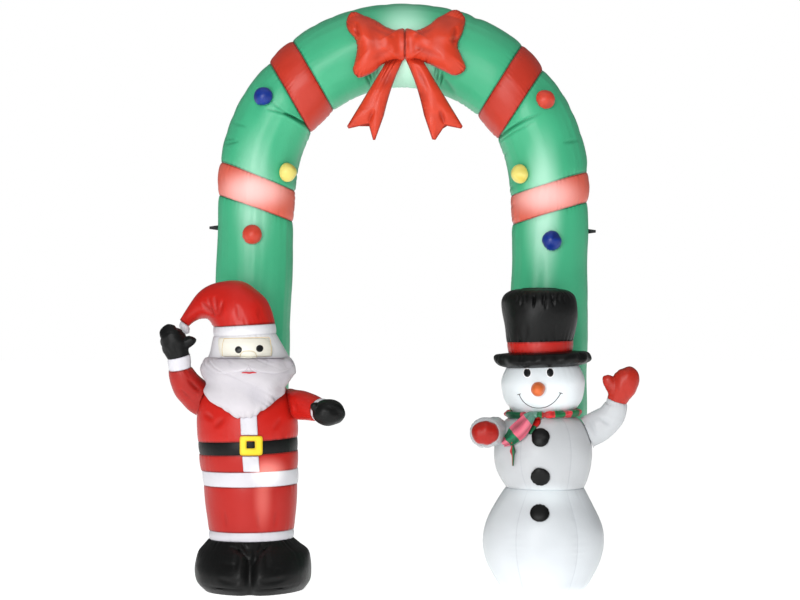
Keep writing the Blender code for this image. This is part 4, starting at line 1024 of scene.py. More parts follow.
@dataclass(frozen=True)
class BowTail(Sewn):
    """A puffed ribbon end with a notch, hanging from under a lobe."""

    node: str
    start: Table      # left and right end of its top, from the bow's middle
    foot: Table       # corner, notch, corner
    creases: tuple[Crease, ...]
    seed: int
    crown: float = 0.034
    rim: float = 0.004
    finish: Nylon = BOW_RED
    columns: int = 112
    steps: int = 96
    tight = 0.7

    @staticmethod
    def back(place: Array, goal: Sequence[float], distance: float) -> Array:
        """A step of a distance from a place towards a goal."""
        way = np.subtract(goal, place)
        return way * distance / np.linalg.norm(way)

    def fill(self, u: Array, v: Array) -> Form:
        """The filled form: rows run down, columns across the front and back again."""
        front = u <= 0.5
        across = (1 - np.cos(2 * math.pi * u)) / 2
        top = mix(np.array(self.start[0]), np.array(self.start[1]), across[:, None])
        corner, notch, last = (np.array(point) for point in self.foot)
        # each end is cut off blunt: from its side a little above the corner to a little inside it
        hem_line = np.array([
            corner + self.back(corner, self.start[0], 0.016), corner + self.back(corner, notch, 0.015), notch,
            last + self.back(last, notch, 0.015), last + self.back(last, self.start[1], 0.016)])
        foot = np.stack([np.interp(across, (0, 0.1, 0.5, 0.9, 1), side) for side in hem_line.T], axis=1)
        down = 1 - (1 - v) ** 1.35
        length = np.hypot(*(foot - top).T)
        spot = mix(top, foot, mix(-0.03 / length, 1.0, down)[:, None])    # its top lies under the lobe
        # its inner side curves towards its outer one
        lean = np.sign(self.start[0][0] + self.start[1][0])
        curve = 0.009 * np.sin(math.pi * np.minimum(1.4 * down, 1))
        spot[:, 0] += lean * curve * mix(across, 1 - across, lean > 0)
        x, z = (np.array(BOW) + spot).T
        width = mix(0.083, 0.115, down)
        side = width * np.minimum(across, 1 - across)
        seam = np.minimum(side, (1 - down) * length)
        edge = (1 - np.abs(2 * across - 1) ** 10) ** 0.5 * (1 - down ** 30) ** 0.5
        under = np.clip(down * length / 0.036, 0, 1)
        puff = (4 * across * (1 - across)) ** 0.55 * (1 - down ** 4) ** 0.7 * under ** 2 * (3 - 2 * under)
        fold = Tucks(0.022, 0.0055, 0.016, self.seed).depth_at(down * length, side)
        fold = fold + Tucks(0.018, 0.011, 0.05, self.seed + 9).depth_at(across * width, down * length)
        fold = fold + 0.003 * wander(stack(x, 0, z), 0.09, self.seed + 4)
        fold = fold + creased(self.creases, x - BOW[0], z - BOW[1], RIDGE)
        hem = self.rim / 2
        lift = hem + hem * edge + self.crown * puff
        lift = np.where(front, lift - np.minimum(fold, 0.6 * (lift - hem)), hem * (1 - edge))
        # the last mark is painted shade in its tucks and creases
        return Form(stack(x, bow_back(x, z) - REST - lift, z), stack(x, z)[:, :2], seam,
                    np.clip(fold / 0.012, 0, 0.6))


def bow_back(x: Array, z: Array) -> Array:
    """The y behind the bow: on the tube above its middle line, hanging straight below it."""
    over = np.maximum(np.hypot(x - ARCH_X, z - ARCH_Z) - 0.63, 0.0)
    return ARCH_Y - np.maximum(np.sqrt(np.maximum(0.1765 ** 2 - over ** 2, 0.0)), 0.118)


@dataclass
class Bow:
    """Two puffed lobes and two notched tails."""

    lobes: tuple[Lobe, ...] = (
        Lobe("bow_lobe_left", -1, mm((0, 57), (-41, 59), (-82, 76), (-123, 104), (-176, 129), (-205, 141),
            (-227, 135), (-242, 100), (-234, 60), (-205, 20), (-197, -18), (-205, -68), (-214, -104),
            (-203, -129), (-182, -138), (-131, -117), (-90, -84), (-41, -66), (0, -59)),
            troughs((-200, 90, -190, 10, 10, 12), (-215, 60, -180, 30, 6, 10),
                (-150, -70, -60, -30, 6, 14, 0, 1), (-140, 70, -55, 30, 5, 12, 0, 1))),
        Lobe("bow_lobe_right", 1, mm((0, 57), (41, 57), (70, 66), (102, 84), (131, 111), (164, 131),
            (201, 149), (228, 143), (250, 109), (238, 51), (217, -2), (233, -51), (250, -94), (238, -116),
            (201, -129), (156, -109), (86, -78), (41, -63), (0, -59)),
            troughs((212, 70, 196, -10, 10, 12), (225, 20, 180, 10, 6, 10), (160, -66, 60, -20, 6, 14, 0, 1),
                (145, 80, 50, 34, 5, 12, 0, 1)),
            rim_tucks=Tucks(0.017, 0.0075, 0.018, 431), knot_tucks=Tucks(0.03, 0.012, 0.03, 441)),
    )
    tails: tuple[BowTail, ...] = (
        BowTail("bow_tail_left", ((-0.09, -0.093), (-0.007, -0.072)),
                mm((-246, -350), (-149, -328), (-127, -408)),
                troughs((-149, -322, -128, -270, 8, 10), (-30, -85, -100, -200, 4, 12)), 451),
        BowTail("bow_tail_right", ((0.004, -0.072), (0.088, -0.09)),
                mm((117, -406), (165, -334), (246, -350)),
                troughs((164, -328, 142, -270, 8, 10), (40, -85, 98, -200, 4, 12)), 471),
    )

    def build(self) -> None:
        """Make and dress the bow."""
        for piece in (*self.lobes, *self.tails):
            piece.build()


@dataclass(frozen=True)
class TetherLoop:
    """A short length of webbing folded into a loop and sewn to the outer side of a leg."""

    node: str
    hand: int
    root: float         # x where it is sewn to the leg
    level: float
    reach: float
    width: float = 0.02
    thick: float = 0.002
    hole: float = 0.0085

    def fill(self, u: Array, v: Array) -> Form:
        """The webbing: columns run round its edge, rows along its loop."""
        turn = 2 * math.pi * v
        out, aside = (1 - np.cos(turn)) / 2, (self.hole + self.thick) / 2 * np.sin(turn)
        round_edge = 2 * math.pi * u
        up = squared(np.sin(round_edge), 0.45) * self.width / 2 * (1 - 0.45 * out)
        side = squared(np.cos(round_edge), 0.45) * self.thick / 2
        outward = unit(stack(-self.hand * np.cos(turn) * 0.6, np.sin(turn), 0))
        spots = stack(self.root + self.hand * (self.reach - self.thick) * out, ARCH_Y + aside,
                      self.level + up)
        return Form(spots + outward * side[:, None], stack(v * self.length(), up)[:, :2],
                    np.full_like(u, FAR))

    def length(self) -> float:
        """Length of the webbing round the loop."""
        turn = np.linspace(0, 2 * math.pi, 100)
        x = (self.reach - self.thick) * (1 - np.cos(turn)) / 2
        return float(np.hypot(np.diff(x), np.diff((self.hole + self.thick) / 2 * np.sin(turn))).sum())

    def build(self) -> None:
        """Fold it and dress it."""
        piece = cut_and_sew(f"{self.node}_webbing", 28, 64, self.fill)
        dress(piece, self.node, STRAP)
        round(self.length(), 4)


@dataclass
class Tethers:
    """The two loops for the tethers."""

    loops: tuple[TetherLoop, ...] = (TetherLoop("tether_tab_left", -1, -0.7643, 1.47, 0.0362),
                                     TetherLoop("tether_tab_right", 1, 0.787, 1.455, 0.0354))

    def build(self) -> None:
        """Make and dress the loops."""
        for loop in self.loops:
            loop.build()


# ---- filled bodies

@lru_cache(maxsize=None)
def read_closely(rows: Table) -> Array:
    """An upright table, read closely all the way along."""
    return spline(rows, np.linspace(0, len(rows) - 1, 60 * len(rows)))


def at_level(rows: Table, level: Array | float) -> list[Array]:
    """The other columns of an upright table at each level."""
    table = read_closely(rows)
    return [np.interp(level, table[:, 0], column) for column in table.T[1:]]


@dataclass(frozen=True)
class Body:
    """An upright filled body; its back is fuller and flatter than its front."""

    rows: Table             # level, middle x, half width, front depth, back depth
    slopes: Table = ((0.0, 0.0), (1.0, 0.0))      # level, rise to the right
    cleft: Table = ((0.0, 0.0), (1.0, 0.0))       # level, groove down its front
    gores: float = 0.0                              # swell of six gores between their seams
    cleft_half: float = 0.034

    def places(self, level: Array, turn: Array, factor: Array, depth: Array | float) -> Array:
        """Points of the body.

        Args:
            level: height of the ring.
            turn: angle round it, a quarter turn at the back.
            factor: of the ring's size.
            depth: metres under the even form.

        Returns:
            The points, one a row.
        """
        middle, half, front, back = at_level(self.rows, level)
        slope, = at_level(self.slopes, level)
        groove, = at_level(self.cleft, level)
        swell = factor * (1 + self.gores * (np.abs(np.sin(3 * turn)) ** 0.8 - 0.6))
        across = np.cos(turn) * half * swell
        rise = np.sin(turn)
        deep = np.where(rise > 0, back * np.abs(rise) ** 0.7,
                        front * rise * (1 - groove * np.exp(-(across / self.cleft_half) ** 2)))
        return stack(middle + across - depth * np.cos(turn), FIGURE_Y + deep * swell - depth * rise,
                     level + slope * across)

    def fullest(self, level: Array) -> tuple[Array, Array, Array]:
        """Middle x, half width and front depth of a ring at the crest of its gores."""
        middle, half, front, _ = at_level(self.rows, level)
        return middle, half * (1 + 0.4 * self.gores), front * (1 + 0.4 * self.gores)

    def front(self, x: Array, level: Array) -> Array:
        """The y of the body's front at places seen from the front."""
        middle, half, front = self.fullest(level)
        across = np.minimum(np.abs(x - middle) / half, 0.985)
        return FIGURE_Y - front * np.sqrt(1 - across ** 2)

    def side(self, y: Array, level: Array, hand: int) -> Array:
        """The x of the body's left (-1) or right (1) side at a depth."""
        middle, half, front = self.fullest(level)
        share = np.minimum(np.abs(y - FIGURE_Y) / front, 0.97)
        return middle + hand * half * np.sqrt(1 - share ** 2)

    def facing(self, x: float, level: float) -> tuple[Vector, Vector]:
        """The front's point and outward direction at a place seen from the front."""
        reach = 0.004
        y = float(self.front(x, level))
        along = Vector((2 * reach, float(self.front(x + reach, level) - self.front(x - reach, level)), 0))
        up = Vector((0, float(self.front(x, level + reach) - self.front(x, level - reach)), 2 * reach))
        return Vector((x, y, level)), along.cross(up).normalized()


@dataclass(frozen=True)
class Slice(Sewn):
    """The cloth of a body between two levels, drawn in at its seams."""

    node: str
    body: Body
    low: float
    high: float
    finish: Nylon
    tucks: Tucks = Tucks(0.026, 0.0022, 0.02, 501)         # at its two ends
    gore_tucks: Tucks = Tucks(0.034, 0.002, 0.022, 521)    # along its gore seams
    creases: tuple[Crease, ...] = ()
    dent: float = 0.0014
    stands: bool = False
    closes: float = 0.0             # rise of its closed upper end
    columns: int = 176
    wide: float = COARSE
    pull: float = 1.0               # how strongly the seams draw it in
    lump: float = 0.2              # size of its unevenness

    def runs(self) -> Array:
        """Heights above the lower seam, one for each row of the grid."""
        length = self.high - GAP / 2 - self.start()
        return stepped(length, not self.stands, self.wide)

    def start(self) -> float:
        """Level of the lower end."""
        return 0.0 if self.stands else self.low + GAP / 2

    def fill(self, u: Array, v: Array) -> Form:
        """The filled form; the grid's long edges meet at the back."""
        runs = self.runs()
        closing = CLOSING_ROWS if self.closes else 0
        row = np.rint(v * (len(runs) - 1 + closing)).astype(int)
        inward = np.clip(row - len(runs) + 1, 0, None) / max(closing, 1)    # 0 to 1 over the closed end
        run = runs[np.minimum(row, len(runs) - 1)]
        level = self.start() + run
        turn = math.pi / 2 + 2 * math.pi * u
        from_low = np.full_like(run, FAR) if self.stands else run
        seam = np.minimum(from_low, runs[-1] - run)
        even = self.body.places(level, turn, np.ones_like(level), 0.0)
        _, half, front, _ = at_level(self.body.rows, level)
        girth = 2 * math.pi * float(np.mean((half + front) / 2))
        around = girth * u
        fold = self.tucks.depth_at(around, seam, girth)
        edge = seam
        if self.body.gores:
            sixth = math.pi / 3
            gore = np.abs((turn + sixth / 2) % sixth - sixth / 2) * (half + front) / 2
            fold = fold + self.gore_tucks.depth_at(run, gore)
            edge = np.minimum(seam, gore)
        fold = fold + faces_front(turn) * creased(self.creases, even[:, 0], even[:, 2])
        fold = np.clip(fold, -0.003, 0.014)
        dent = self.dent * wander(even, self.lump, self.tucks.seed + 7)
        factor = (1 - self.pull * (1 - drawn_in(seam))) * np.cos(math.pi / 2 * inward)
        places = self.body.places(level, turn, factor, (fold + dent) * np.cos(math.pi / 2 * inward))
        places[:, 2] += self.closes * np.sin(math.pi / 2 * inward)
        # the last mark is painted shade in its tucks and creases
        return Form(places, stack(around, run + inward * half)[:, :2], edge,
                    np.clip(fold / 0.014, 0, 0.6))

    def count(self) -> int:
        """Rows of its grid."""
        return len(self.runs()) - 1 + (CLOSING_ROWS if self.closes else 0)


@dataclass(frozen=True)
class Pad(Sewn):
    """A puffed piece sewn round its edge onto a body's front, which it hugs."""

    node: str
    bed: Body
    rows: Table    # level, half reach across, puff
    finish: Nylon
    rim: float = 0.003
    shift: float = 0.0
    tucks: Tucks = Tucks(0.022, 0.002, 0.018, 601)
    creases: tuple[Crease, ...] = ()
    uneven: float = 0.0015
    round_end: float = 0.006
    jag: float = 0.0            # how uneven its outline is
    columns: int = 200
    steps: int = 80
    tight = 0.8

    def fill(self, u: Array, v: Array) -> Form:
        """The filled form: columns run across the front and back again, rows up."""
        front = u <= 0.5
        share = -np.cos(2 * math.pi * u)
        rise = (1 - np.cos(math.pi * v)) / 2
        level, reach, puff = spline(self.rows, rise * (len(self.rows) - 1)).T
        ends = np.minimum(level - self.rows[0][0], self.rows[-1][0] - level)
        corner = np.clip(1 - ends / self.round_end, 0, 1)
        rounding = np.sqrt(np.maximum(1 - corner ** 2, 0))
        reach = reach * (0.86 + 0.14 * rounding)
        seed = self.tucks.seed
        reach = reach + self.jag * wander(stack(9 * np.sign(share), 0, level), 0.026, seed + 9)
        level = level + self.jag * (1 - rise) ** 3 * wander(stack(share * reach, 0, 0), 0.02, seed + 8)
        middle, half, deep, _ = at_level(self.bed.rows, level)
        limit = np.arccos(np.minimum(reach / half, 0.985))
        turn = -math.pi / 2 + share * (math.pi / 2 - limit)
        spot = stack(middle + self.shift + half * np.cos(turn), FIGURE_Y + deep * np.sin(turn), level)
        outward = unit(stack(deep * np.cos(turn), half * np.sin(turn), 0))
        edge = np.sqrt(np.maximum(1 - np.abs(share) ** 14, 0))
        thick = (self.rim * edge + puff * (1 - np.abs(share) ** 2.6) ** 0.6) * rounding
        seam = np.minimum((1 - np.abs(share)) * reach, ends)
        fold = self.tucks.depth_at(level + 0.7 * share * reach, seam)
        fold = fold + creased(self.creases, spot[:, 0], level, RIDGE)
        fold = fold + self.uneven * wander(spot, 0.09, self.tucks.seed + 3)
        lift = np.where(front, thick - np.minimum(fold, 0.7 * thick), 0.0)
        places = spot + outward * (REST + lift)[:, None]
        # the last mark is painted shade in its tucks and creases, on its front only
        return Form(places, stack(spot[:, 0], level)[:, :2], seam,
                    np.clip(fold / 0.01, 0, 0.6) * front)


# ---- arms and mittens

Root = Callable[[Array, Array], Array]


@dataclass(frozen=True)
class Limb:
    """The form that an arm and its mitten are filled to."""

    rows: Table      # x, y, z, half width, half depth
    deep: tuple[float, float, float] = (0, 1, 0)                    # the way of its depth

    def places(self, place: Array, turn: Array, depth: Array | float, shift: Array | float = 0.0) -> Array:
        """Points of the limb.

        Args:
            place: where along the rows, from 0.
            turn: angle round the limb.
            depth: metres under the even form.
            shift: metres along the limb, for the gap between two pieces.

        Returns:
            The points, one a row.
        """
        last = len(self.rows) - 1
        table = spline(self.rows, place)
        ahead = unit(spline(self.rows, np.minimum(place + 0.1, last))[:, :3]
                     - spline(self.rows, np.maximum(place - 0.1, 0))[:, :3])
        side = unit(np.cross(ahead, self.deep))
        down = unit(np.cross(side, ahead))
        half, deep = table[:, 3] - depth, table[:, 4] - depth
        return (table[:, :3] + ahead * np.broadcast_to(shift, half.shape)[:, None]
                + side * (half * np.cos(turn))[:, None] + down * (deep * np.sin(turn))[:, None])

    def runs(self, first: float, last: float) -> tuple[Array, Array]:
        """Places along the rows and their distances, closely read."""
        place = np.linspace(first, last, 200)
        steps = np.linalg.norm(np.diff(spline(self.rows, place)[:, :3], axis=0), axis=1)
        return place, np.concatenate([[0], steps.cumsum()])


def beside(body: Body, hand: int) -> Root:
    """What keeps the root of a limb off a body's left (-1) or right (1) side."""
    def root(points: Array, lift: Array) -> Array:
        """The points, none closer to the body than their lift."""
        wall = body.side(points[:, 1], points[:, 2], hand) + hand * (REST + lift)
        return stack(hand * np.maximum(hand * points[:, 0], hand * wall), points[:, 1], points[:, 2])

    return root


@dataclass(frozen=True)
class Sleeve(Sewn):
    """One piece of a limb: its sleeve, whose root lies on the body, or its cuff."""

    node: str
    limb: Limb
    first: int
    last: int
    finish: Nylon
    tucks: Tucks = Tucks(0.024, 0.0026, 0.02, 701)
    creases: tuple[Crease, ...] = ()
    root: Root | None = None
    columns: int = 96
    wide: float = 0.0055
    pull: float = 1.0

    def fill(self, u: Array, v: Array) -> Form:
        """The filled form; the grid's long edges meet under the limb."""
        place_of, run_of = self.limb.runs(self.first, self.last)
        runs = stepped(run_of[-1], True, self.wide)
        cap = CAP_ROWS if self.root else 0
        row = np.rint(v * (len(runs) - 1 + cap)).astype(int)
        outward = np.clip(row / max(cap, 1), 0, 1) if cap else np.ones_like(v)
        run = runs[np.maximum(row - cap, 0)]
        place = np.interp(run, run_of, place_of)
        turn = math.pi * (2 * u + 0.5)
        from_first = np.full_like(run, FAR) if self.first == 0 else run
        from_last = run_of[-1] - run
        seam = np.minimum(from_first, from_last)
        girth = 2 * math.pi * float(np.mean(spline(self.limb.rows, place)[:, 3]))
        fold = self.tucks.depth_at(u * girth, np.minimum(seam, run + (0.0 if self.root else FAR)), girth)
        even = self.limb.places(place, turn, 0.0)
        fold = fold + creased(self.creases, even[:, 0], even[:, 2])
        fold = np.clip(fold, -0.002, 0.012) + 0.0012 * wander(even, 0.09, self.tucks.seed + 5)
        half = spline(self.limb.rows, place)[:, 3]
        sunk = half * self.pull * (1 - drawn_in(seam))
        shift = np.where(from_first < 1e-9, GAP, np.where((from_last < 1e-9), -GAP, 0.0))
        places = self.limb.places(place, turn, (fold + sunk), shift)
        if self.root:
            middle = np.array(self.limb.rows[0][:3])
            places = np.where((outward < 1)[:, None], middle + (places - middle) * outward[:, None], places)
            places = self.root(places, 0.01 * place + 0.0008)
        # the last mark is painted shade in its tucks and creases
        return Form(places, stack(u * girth, run - (1 - outward) * half)[:, :2], seam,
                    np.clip(fold / 0.012, 0, 0.6))

    def count(self) -> int:
        """Rows of its grid."""
        rows = len(stepped(self.limb.runs(self.first, self.last)[1][-1], True, self.wide)) - 1
        return rows + (CAP_ROWS if self.root else 0)


@dataclass(frozen=True)
class Mitten:
    """A palm and a thumb cut in one from two halves, sewn round their outline and filled."""

    node: str
    palm: Limb
    first: int
    thumb: Limb
    finish: Nylon
    tucks: Tucks = Tucks(0.02, 0.0034, 0.022, 801)
    grain: float = 0.003           # of the joined cloth
    hem: float = 0.004             # how deep its seam lies

    def half(self, name: str, limb: Limb, first: int) -> Object:
        """One of its two forms, closed at both ends."""
        last = len(limb.rows) - 1

        def fill(u: Array, v: Array) -> Form:
            """The form over the grid, from shares round and along it."""
            place = first + (last - first) * v
            shift = np.where((v <= 0) & (first > 0), GAP, 0.0)
            end = np.clip((v - 0.97) / 0.03, 0, 1)
            half = spline(limb.rows, place)[:, 3]
            places = limb.places(place, 2 * math.pi * u, half * 0.5 * end ** 2, shift)
            return Form(places, stack(u, v)[:, :2], u * 0)

        return cut_and_sew(name, 48, 60, fill)

    def build(self) -> Object:
        """Join the palm and the thumb, draw in the seam between the two halves, and dress it."""
        palm = self.half(f"{self.node}_cloth", self.palm, self.first)
        thumb = self.half(f"{self.node}_thumb", self.thumb, 0)
        both = bmesh.new()
        for shape in (palm, thumb):
            both.from_mesh(shape.data)
        both.to_mesh(palm.data)
        both.free()
        bpy.data.objects.remove(thumb, do_unlink=True)
        joined = palm.modifiers.new("joined", "REMESH")
        joined.mode = "VOXEL"
        joined.voxel_size = self.grain
        joined.use_smooth_shade = True
        soft = palm.modifiers.new("soft", "SMOOTH")
        soft.factor = 0.5
        soft.iterations = 5
        apply_modifiers(palm)
        self.mark(palm)
        return dress(palm, self.node, self.finish)

    def mark(self, piece: Object) -> None:
        """Draw in the seam round the outline, with its tucks, and give the cloth its map and marks."""
        mesh = piece.data
        count = len(mesh.vertices)
        spots, normals = np.empty(3 * count), np.empty(3 * count)
        mesh.vertices.foreach_get("co", spots)
        mesh.vertices.foreach_get("normal", normals)
        spots, normals = spots.reshape(-1, 3), normals.reshape(-1, 3)
        middle = spline(self.palm.rows, np.linspace(self.first, len(self.palm.rows) - 1, 60))[:, :3]
        nearest = np.argmin(((spots[:, None, :] - middle[None]) ** 2).sum(axis=2), axis=1)
        off = spots - middle[nearest]
        deep = np.array(self.palm.deep, float)
        seam = np.abs(off @ deep)
        from_cuff = nearest * 0.0022                # the middle line's places are 2.2 mm apart
        along = from_cuff + 0.6 * np.linalg.norm(np.cross(off, deep), axis=1)
        fold = (self.tucks.depth_at(along, seam) + 0.004 * np.exp(-seam / 0.006)) * (self.hem / 0.004)
        across = unit(np.cross(middle[-1] - middle[0], deep)[None])[0]
        fold = fold + Tucks(0.02, 0.003, 0.02, self.tucks.seed + 11).depth_at(
            np.arctan2(off @ deep, off @ across) * 0.04, from_cuff)
        fold = fold + 0.0014 * wander(spots, 0.05, self.tucks.seed + 3)
        fold = fold * np.clip(from_cuff / 0.006, 0, 1)
        mesh.vertices.foreach_set("co", (spots - normals * fold[:, None]).ravel())
        # the fold mark is painted shade in its seam groove and tucks
        marks = {"seam": seam if self.hem > 0.001 else seam + FAR, "fold": np.clip(fold / 0.012, 0, 0.6),
                 "stripe": np.zeros(count)}
        for mark, values in marks.items():
            layer = mesh.attributes.get(mark) or mesh.attributes.new(mark, "FLOAT", "POINT")
            layer.data.foreach_set("value", values)
        corners_of = np.empty(len(mesh.loops), int)
        mesh.loops.foreach_get("vertex_index", corners_of)
        flat = spots[:, [0, 2]] if deep[1] else spots[:, [0, 1]]
        sheet = mesh.uv_layers.get("cloth") or mesh.uv_layers.new(name="cloth")
        sheet.data.foreach_set("uv", flat[corners_of].ravel())
        mesh.update()


# ---- small pieces laid on the cloth

class Bed:
    """What a small piece is laid on: the front of one or more finished pieces."""

    def __init__(self, *pieces: Object) -> None:
        """Join the pieces into one shape that rays can meet."""
        shape = bmesh.new()
        for piece in pieces:
            shape.from_mesh(piece.data)
        self.tree = BVHTree.FromBMesh(shape)
        shape.free()

    def front(self, x: Array, z: Array) -> Array:
        """The y of the front at many places; past its edge, that of the nearest cloth."""
        found = np.empty(len(x))
        for i, (across, up) in enumerate(zip(x, z)):
            point = self.tree.ray_cast(Vector((across, -1.0, up)), Vector((0, 1, 0)))[0]
            if point is None:
                point = self.tree.find_nearest(Vector((across, -0.3, up)))[0]
            found[i] = point.y
        return found


def ellipse(x: float, z: float, half: float, high: float, corners_of: int = 24) -> Table:
    """An ellipse as an outline."""
    turns = (2 * math.pi * k / corners_of for k in range(corners_of))
    return tuple((x + half * math.cos(turn), z + high * math.sin(turn)) for turn in turns)


@dataclass(frozen=True)
class Applique:
    """A small piece of cloth sewn flat, or a little puffed, onto what lies behind it."""

    name: str
    outline: Table            # a smooth closed curve, x and z, that all sees the middle
    middle: tuple[float, float]
    finish: Nylon | Thread
    thick: float = 0.0012
    crown: float = 0.0
    lie: float = 0.0004
    tucks: Tucks = Tucks(0.018, 0.0, 0.01, 901)
    creases: tuple[Crease, ...] = ()
    columns: int = 96
    rows: int = 24

    def build(self, bed: Bed) -> Object:
        """Sew it onto the front of the bed."""
        def fill(u: Array, v: Array) -> Form:
            """The form over the grid, from shares round and along it."""
            edge = closed_curve(self.outline, u)
            middle = np.array(self.middle)
            swing = v / 0.7
            front = swing <= 1
            share = np.where(front, np.sin(math.pi / 2 * np.minimum(swing, 1)), np.clip((1 - v) / 0.3, 0, 1))
            reach = np.linalg.norm(edge - middle, axis=1)
            x, z = (middle + (edge - middle) * share[:, None]).T
            rim_gap = (1 - share) * reach
            fold = self.tucks.depth_at(u * 2 * math.pi * float(reach.mean()), rim_gap)
            fold = fold + creased(self.creases, x, z, RIDGE)
            lift = self.thick * np.sqrt(np.maximum(1 - share ** 12, 0)) \
                + self.crown * (1 - share ** 2.4) ** 0.6
            lift = np.where(front, np.maximum(lift - fold, 0.3 * lift), 0.0)
            # the last mark is painted shade in its tucks and creases
            return Form(stack(x, bed.front(x, z) - self.lie - lift, z), stack(x, z)[:, :2], rim_gap,
                        np.clip(fold / 0.01, 0, 0.6))

        piece = cut_and_sew(self.name, self.columns, self.rows, fill)
        return trim(piece, self.finish)


@dataclass(frozen=True)
class Stitching:
    """A raised line of thread or a narrow cord along a path."""

    name: str
    path: Table
    finish: Nylon | Thread
    radius: float = 0.0009
    steps: int = 90
    taper: bool = False         # thin at both ends

    def build(self, bed: Bed) -> Object:
        """Lay it on the front of the bed."""
        def fill(u: Array, v: Array) -> Form:
            """The form over the grid, from shares round and along it."""
            last = len(self.path) - 1
            x, z = spline(self.path, v * last).T
            way = unit(spline(self.path, np.minimum(v + 0.01, 1) * last)
                       - spline(self.path, np.maximum(v - 0.01, 0) * last))
            radius = self.radius * (np.sqrt(np.maximum(1 - (2 * v - 1) ** 2, 0.02)) if self.taper else 1.0)
            turn = 2 * math.pi * u
            y = bed.front(x, z) - self.radius * 0.5
            return Form(stack(x - way[:, 1] * radius * np.cos(turn), y - radius * 0.6 * np.sin(turn),
                              z + way[:, 0] * radius * np.cos(turn)), stack(u * 0.006, v)[:, :2], u * 0 + FAR)

        return trim(cut_and_sew(self.name, 8, self.steps, fill), self.finish)


# ---- bearded figure

ELDER_BOOTS = Body(mm((0, -592, 200, 215, 110), (33, -592, 229, 245, 125), (74, -592, 238, 250, 130),
    (114, -592, 236, 235, 130), (154, -594, 224, 205, 128), (182, -600, 195, 175, 124),
    (205, -603, 174, 160, 120)),
    slopes=((0.1, 0.0), (0.205, 0.012)),
    cleft=((0.0, 0.1), (0.04, 0.12), (0.1, 0.15), (0.15, 0.12), (0.205, 0.0)), cleft_half=0.022)
ELDER = Body(mm((195, -603, 175, 160, 120), (240, -602, 175, 160, 120), (320, -602, 181, 165, 125),
    (420, -605, 192, 175, 130), (480, -608, 196, 182, 132), (560, -613, 201, 190, 134),
    (640, -617, 203, 190, 134), (700, -620, 202, 186, 132), (760, -621, 190, 172, 128),
    (805, -621, 165, 150, 118), (832, -621, 135, 120, 100)),
    slopes=((0.2, 0.012), (0.43, 0.012), (0.56, 0.04), (0.65, 0.04), (0.8, 0.0)))
ELDER_HEAD = Body(mm((833, -613, 130, 125, 100), (870, -612, 158, 150, 118), (915, -612, 172, 163, 126),
    (960, -615, 152, 156, 124), (1026, -628, 126, 137, 114)),
    slopes=((0.92, 0.0), (1.026, 0.055)))
ELDER_BRIM = Body(mm((1026, -628, 126.5, 140, 116), (1045, -629, 127.5, 142, 118),
                     (1064, -630, 126, 138, 116)),
    slopes=((1.0, 0.055), (1.1, 0.055)))
BEARD_BED = Body(mm((690, -620, 203, 190, 100), (760, -619, 196, 182, 100), (830, -614, 182, 173, 100),
    (900, -612, 175, 168, 100), (945, -612, 165, 162, 100)))
ELDER_HEM = 0.205
ELDER_NECK = 0.833
ELDER_HAT_UNDER = 1.026
ELDER_HAT_OVER = 1.064


@dataclass(frozen=True)
class Cone(Sewn):
    """A filled cone of cloth that bends over, between its outer and its inner outline."""

    node: str
    rows: Table  # outer x, z, inner x, z, half depth
    finish: Nylon
    tucks: Tucks
    creases: tuple[Crease, ...] = ()
    columns: int = 144
    wide: float = 0.006
    closes: bool = False            # rounds its far end over
    tight = 0.8

    def reach(self) -> tuple[Array, Array]:
        """Places along the rows and their distances along the middle, closely read."""
        place = np.linspace(0, len(self.rows) - 1, 200)
        table = spline(self.rows, place)
        centre = (table[:, :2] + table[:, 2:4]) / 2
        return place, np.concatenate([[0], np.hypot(*np.diff(centre, axis=0).T).cumsum()])

    def count(self) -> int:
        """Rows of its grid."""
        return len(stepped(self.reach()[1][-1], True, self.wide)) - 1

    def fill(self, u: Array, v: Array) -> Form:
        """The filled form; the grid's long edges meet at the back."""
        place_of, run_of = self.reach()
        runs = stepped(run_of[-1], True, self.wide)
        run = runs[np.rint(v * (len(runs) - 1)).astype(int)]
        outer_x, outer_z, inner_x, inner_z, deep = spline(self.rows, np.interp(run, run_of, place_of)).T
        turn = math.pi / 2 + 2 * math.pi * u
        middle_x, middle_z = (outer_x + inner_x) / 2, (outer_z + inner_z) / 2
        half = np.hypot(outer_x - inner_x, outer_z - inner_z) / 2
        seam = np.minimum(run, run_of[-1] - run)
        girth = 2 * math.pi * float(half.max() + deep.max()) / 2
        inner = np.abs((turn % (2 * math.pi)) - math.pi) * deep
        even = stack(middle_x + (outer_x - middle_x) * np.cos(turn), FIGURE_Y + deep * np.sin(turn),
                     middle_z + (outer_z - middle_z) * np.cos(turn))
        fold = self.tucks.depth_at(u * girth, seam, girth)
        fold = fold + Tucks(0.024, 0.0035, 0.05, self.tucks.seed + 21).depth_at(run, inner)
        fold = fold + faces_front(turn) * creased(self.creases, even[:, 0], even[:, 2])
        fold = np.clip(fold, -0.004, 0.35 * np.minimum(half, deep))
        dent = 0.0022 * wander(even, 0.13, self.tucks.seed + 3)
        factor = 1 - 0.4 * (1 - drawn_in(seam)) - (fold + dent) / np.minimum(half, deep)
        if self.closes:
            factor = factor * np.sqrt(np.maximum(1 - np.clip(1 - (run_of[-1] - run) / 0.01, 0, 1) ** 2, 0))
        middle = stack(middle_x, FIGURE_Y, middle_z)
        places = middle + (even - middle) * factor[:, None]
        # the last mark is painted shade in its tucks and creases
        return Form(places, stack(u * girth, run)[:, :2], seam, np.clip(fold / 0.014, 0, 0.6))


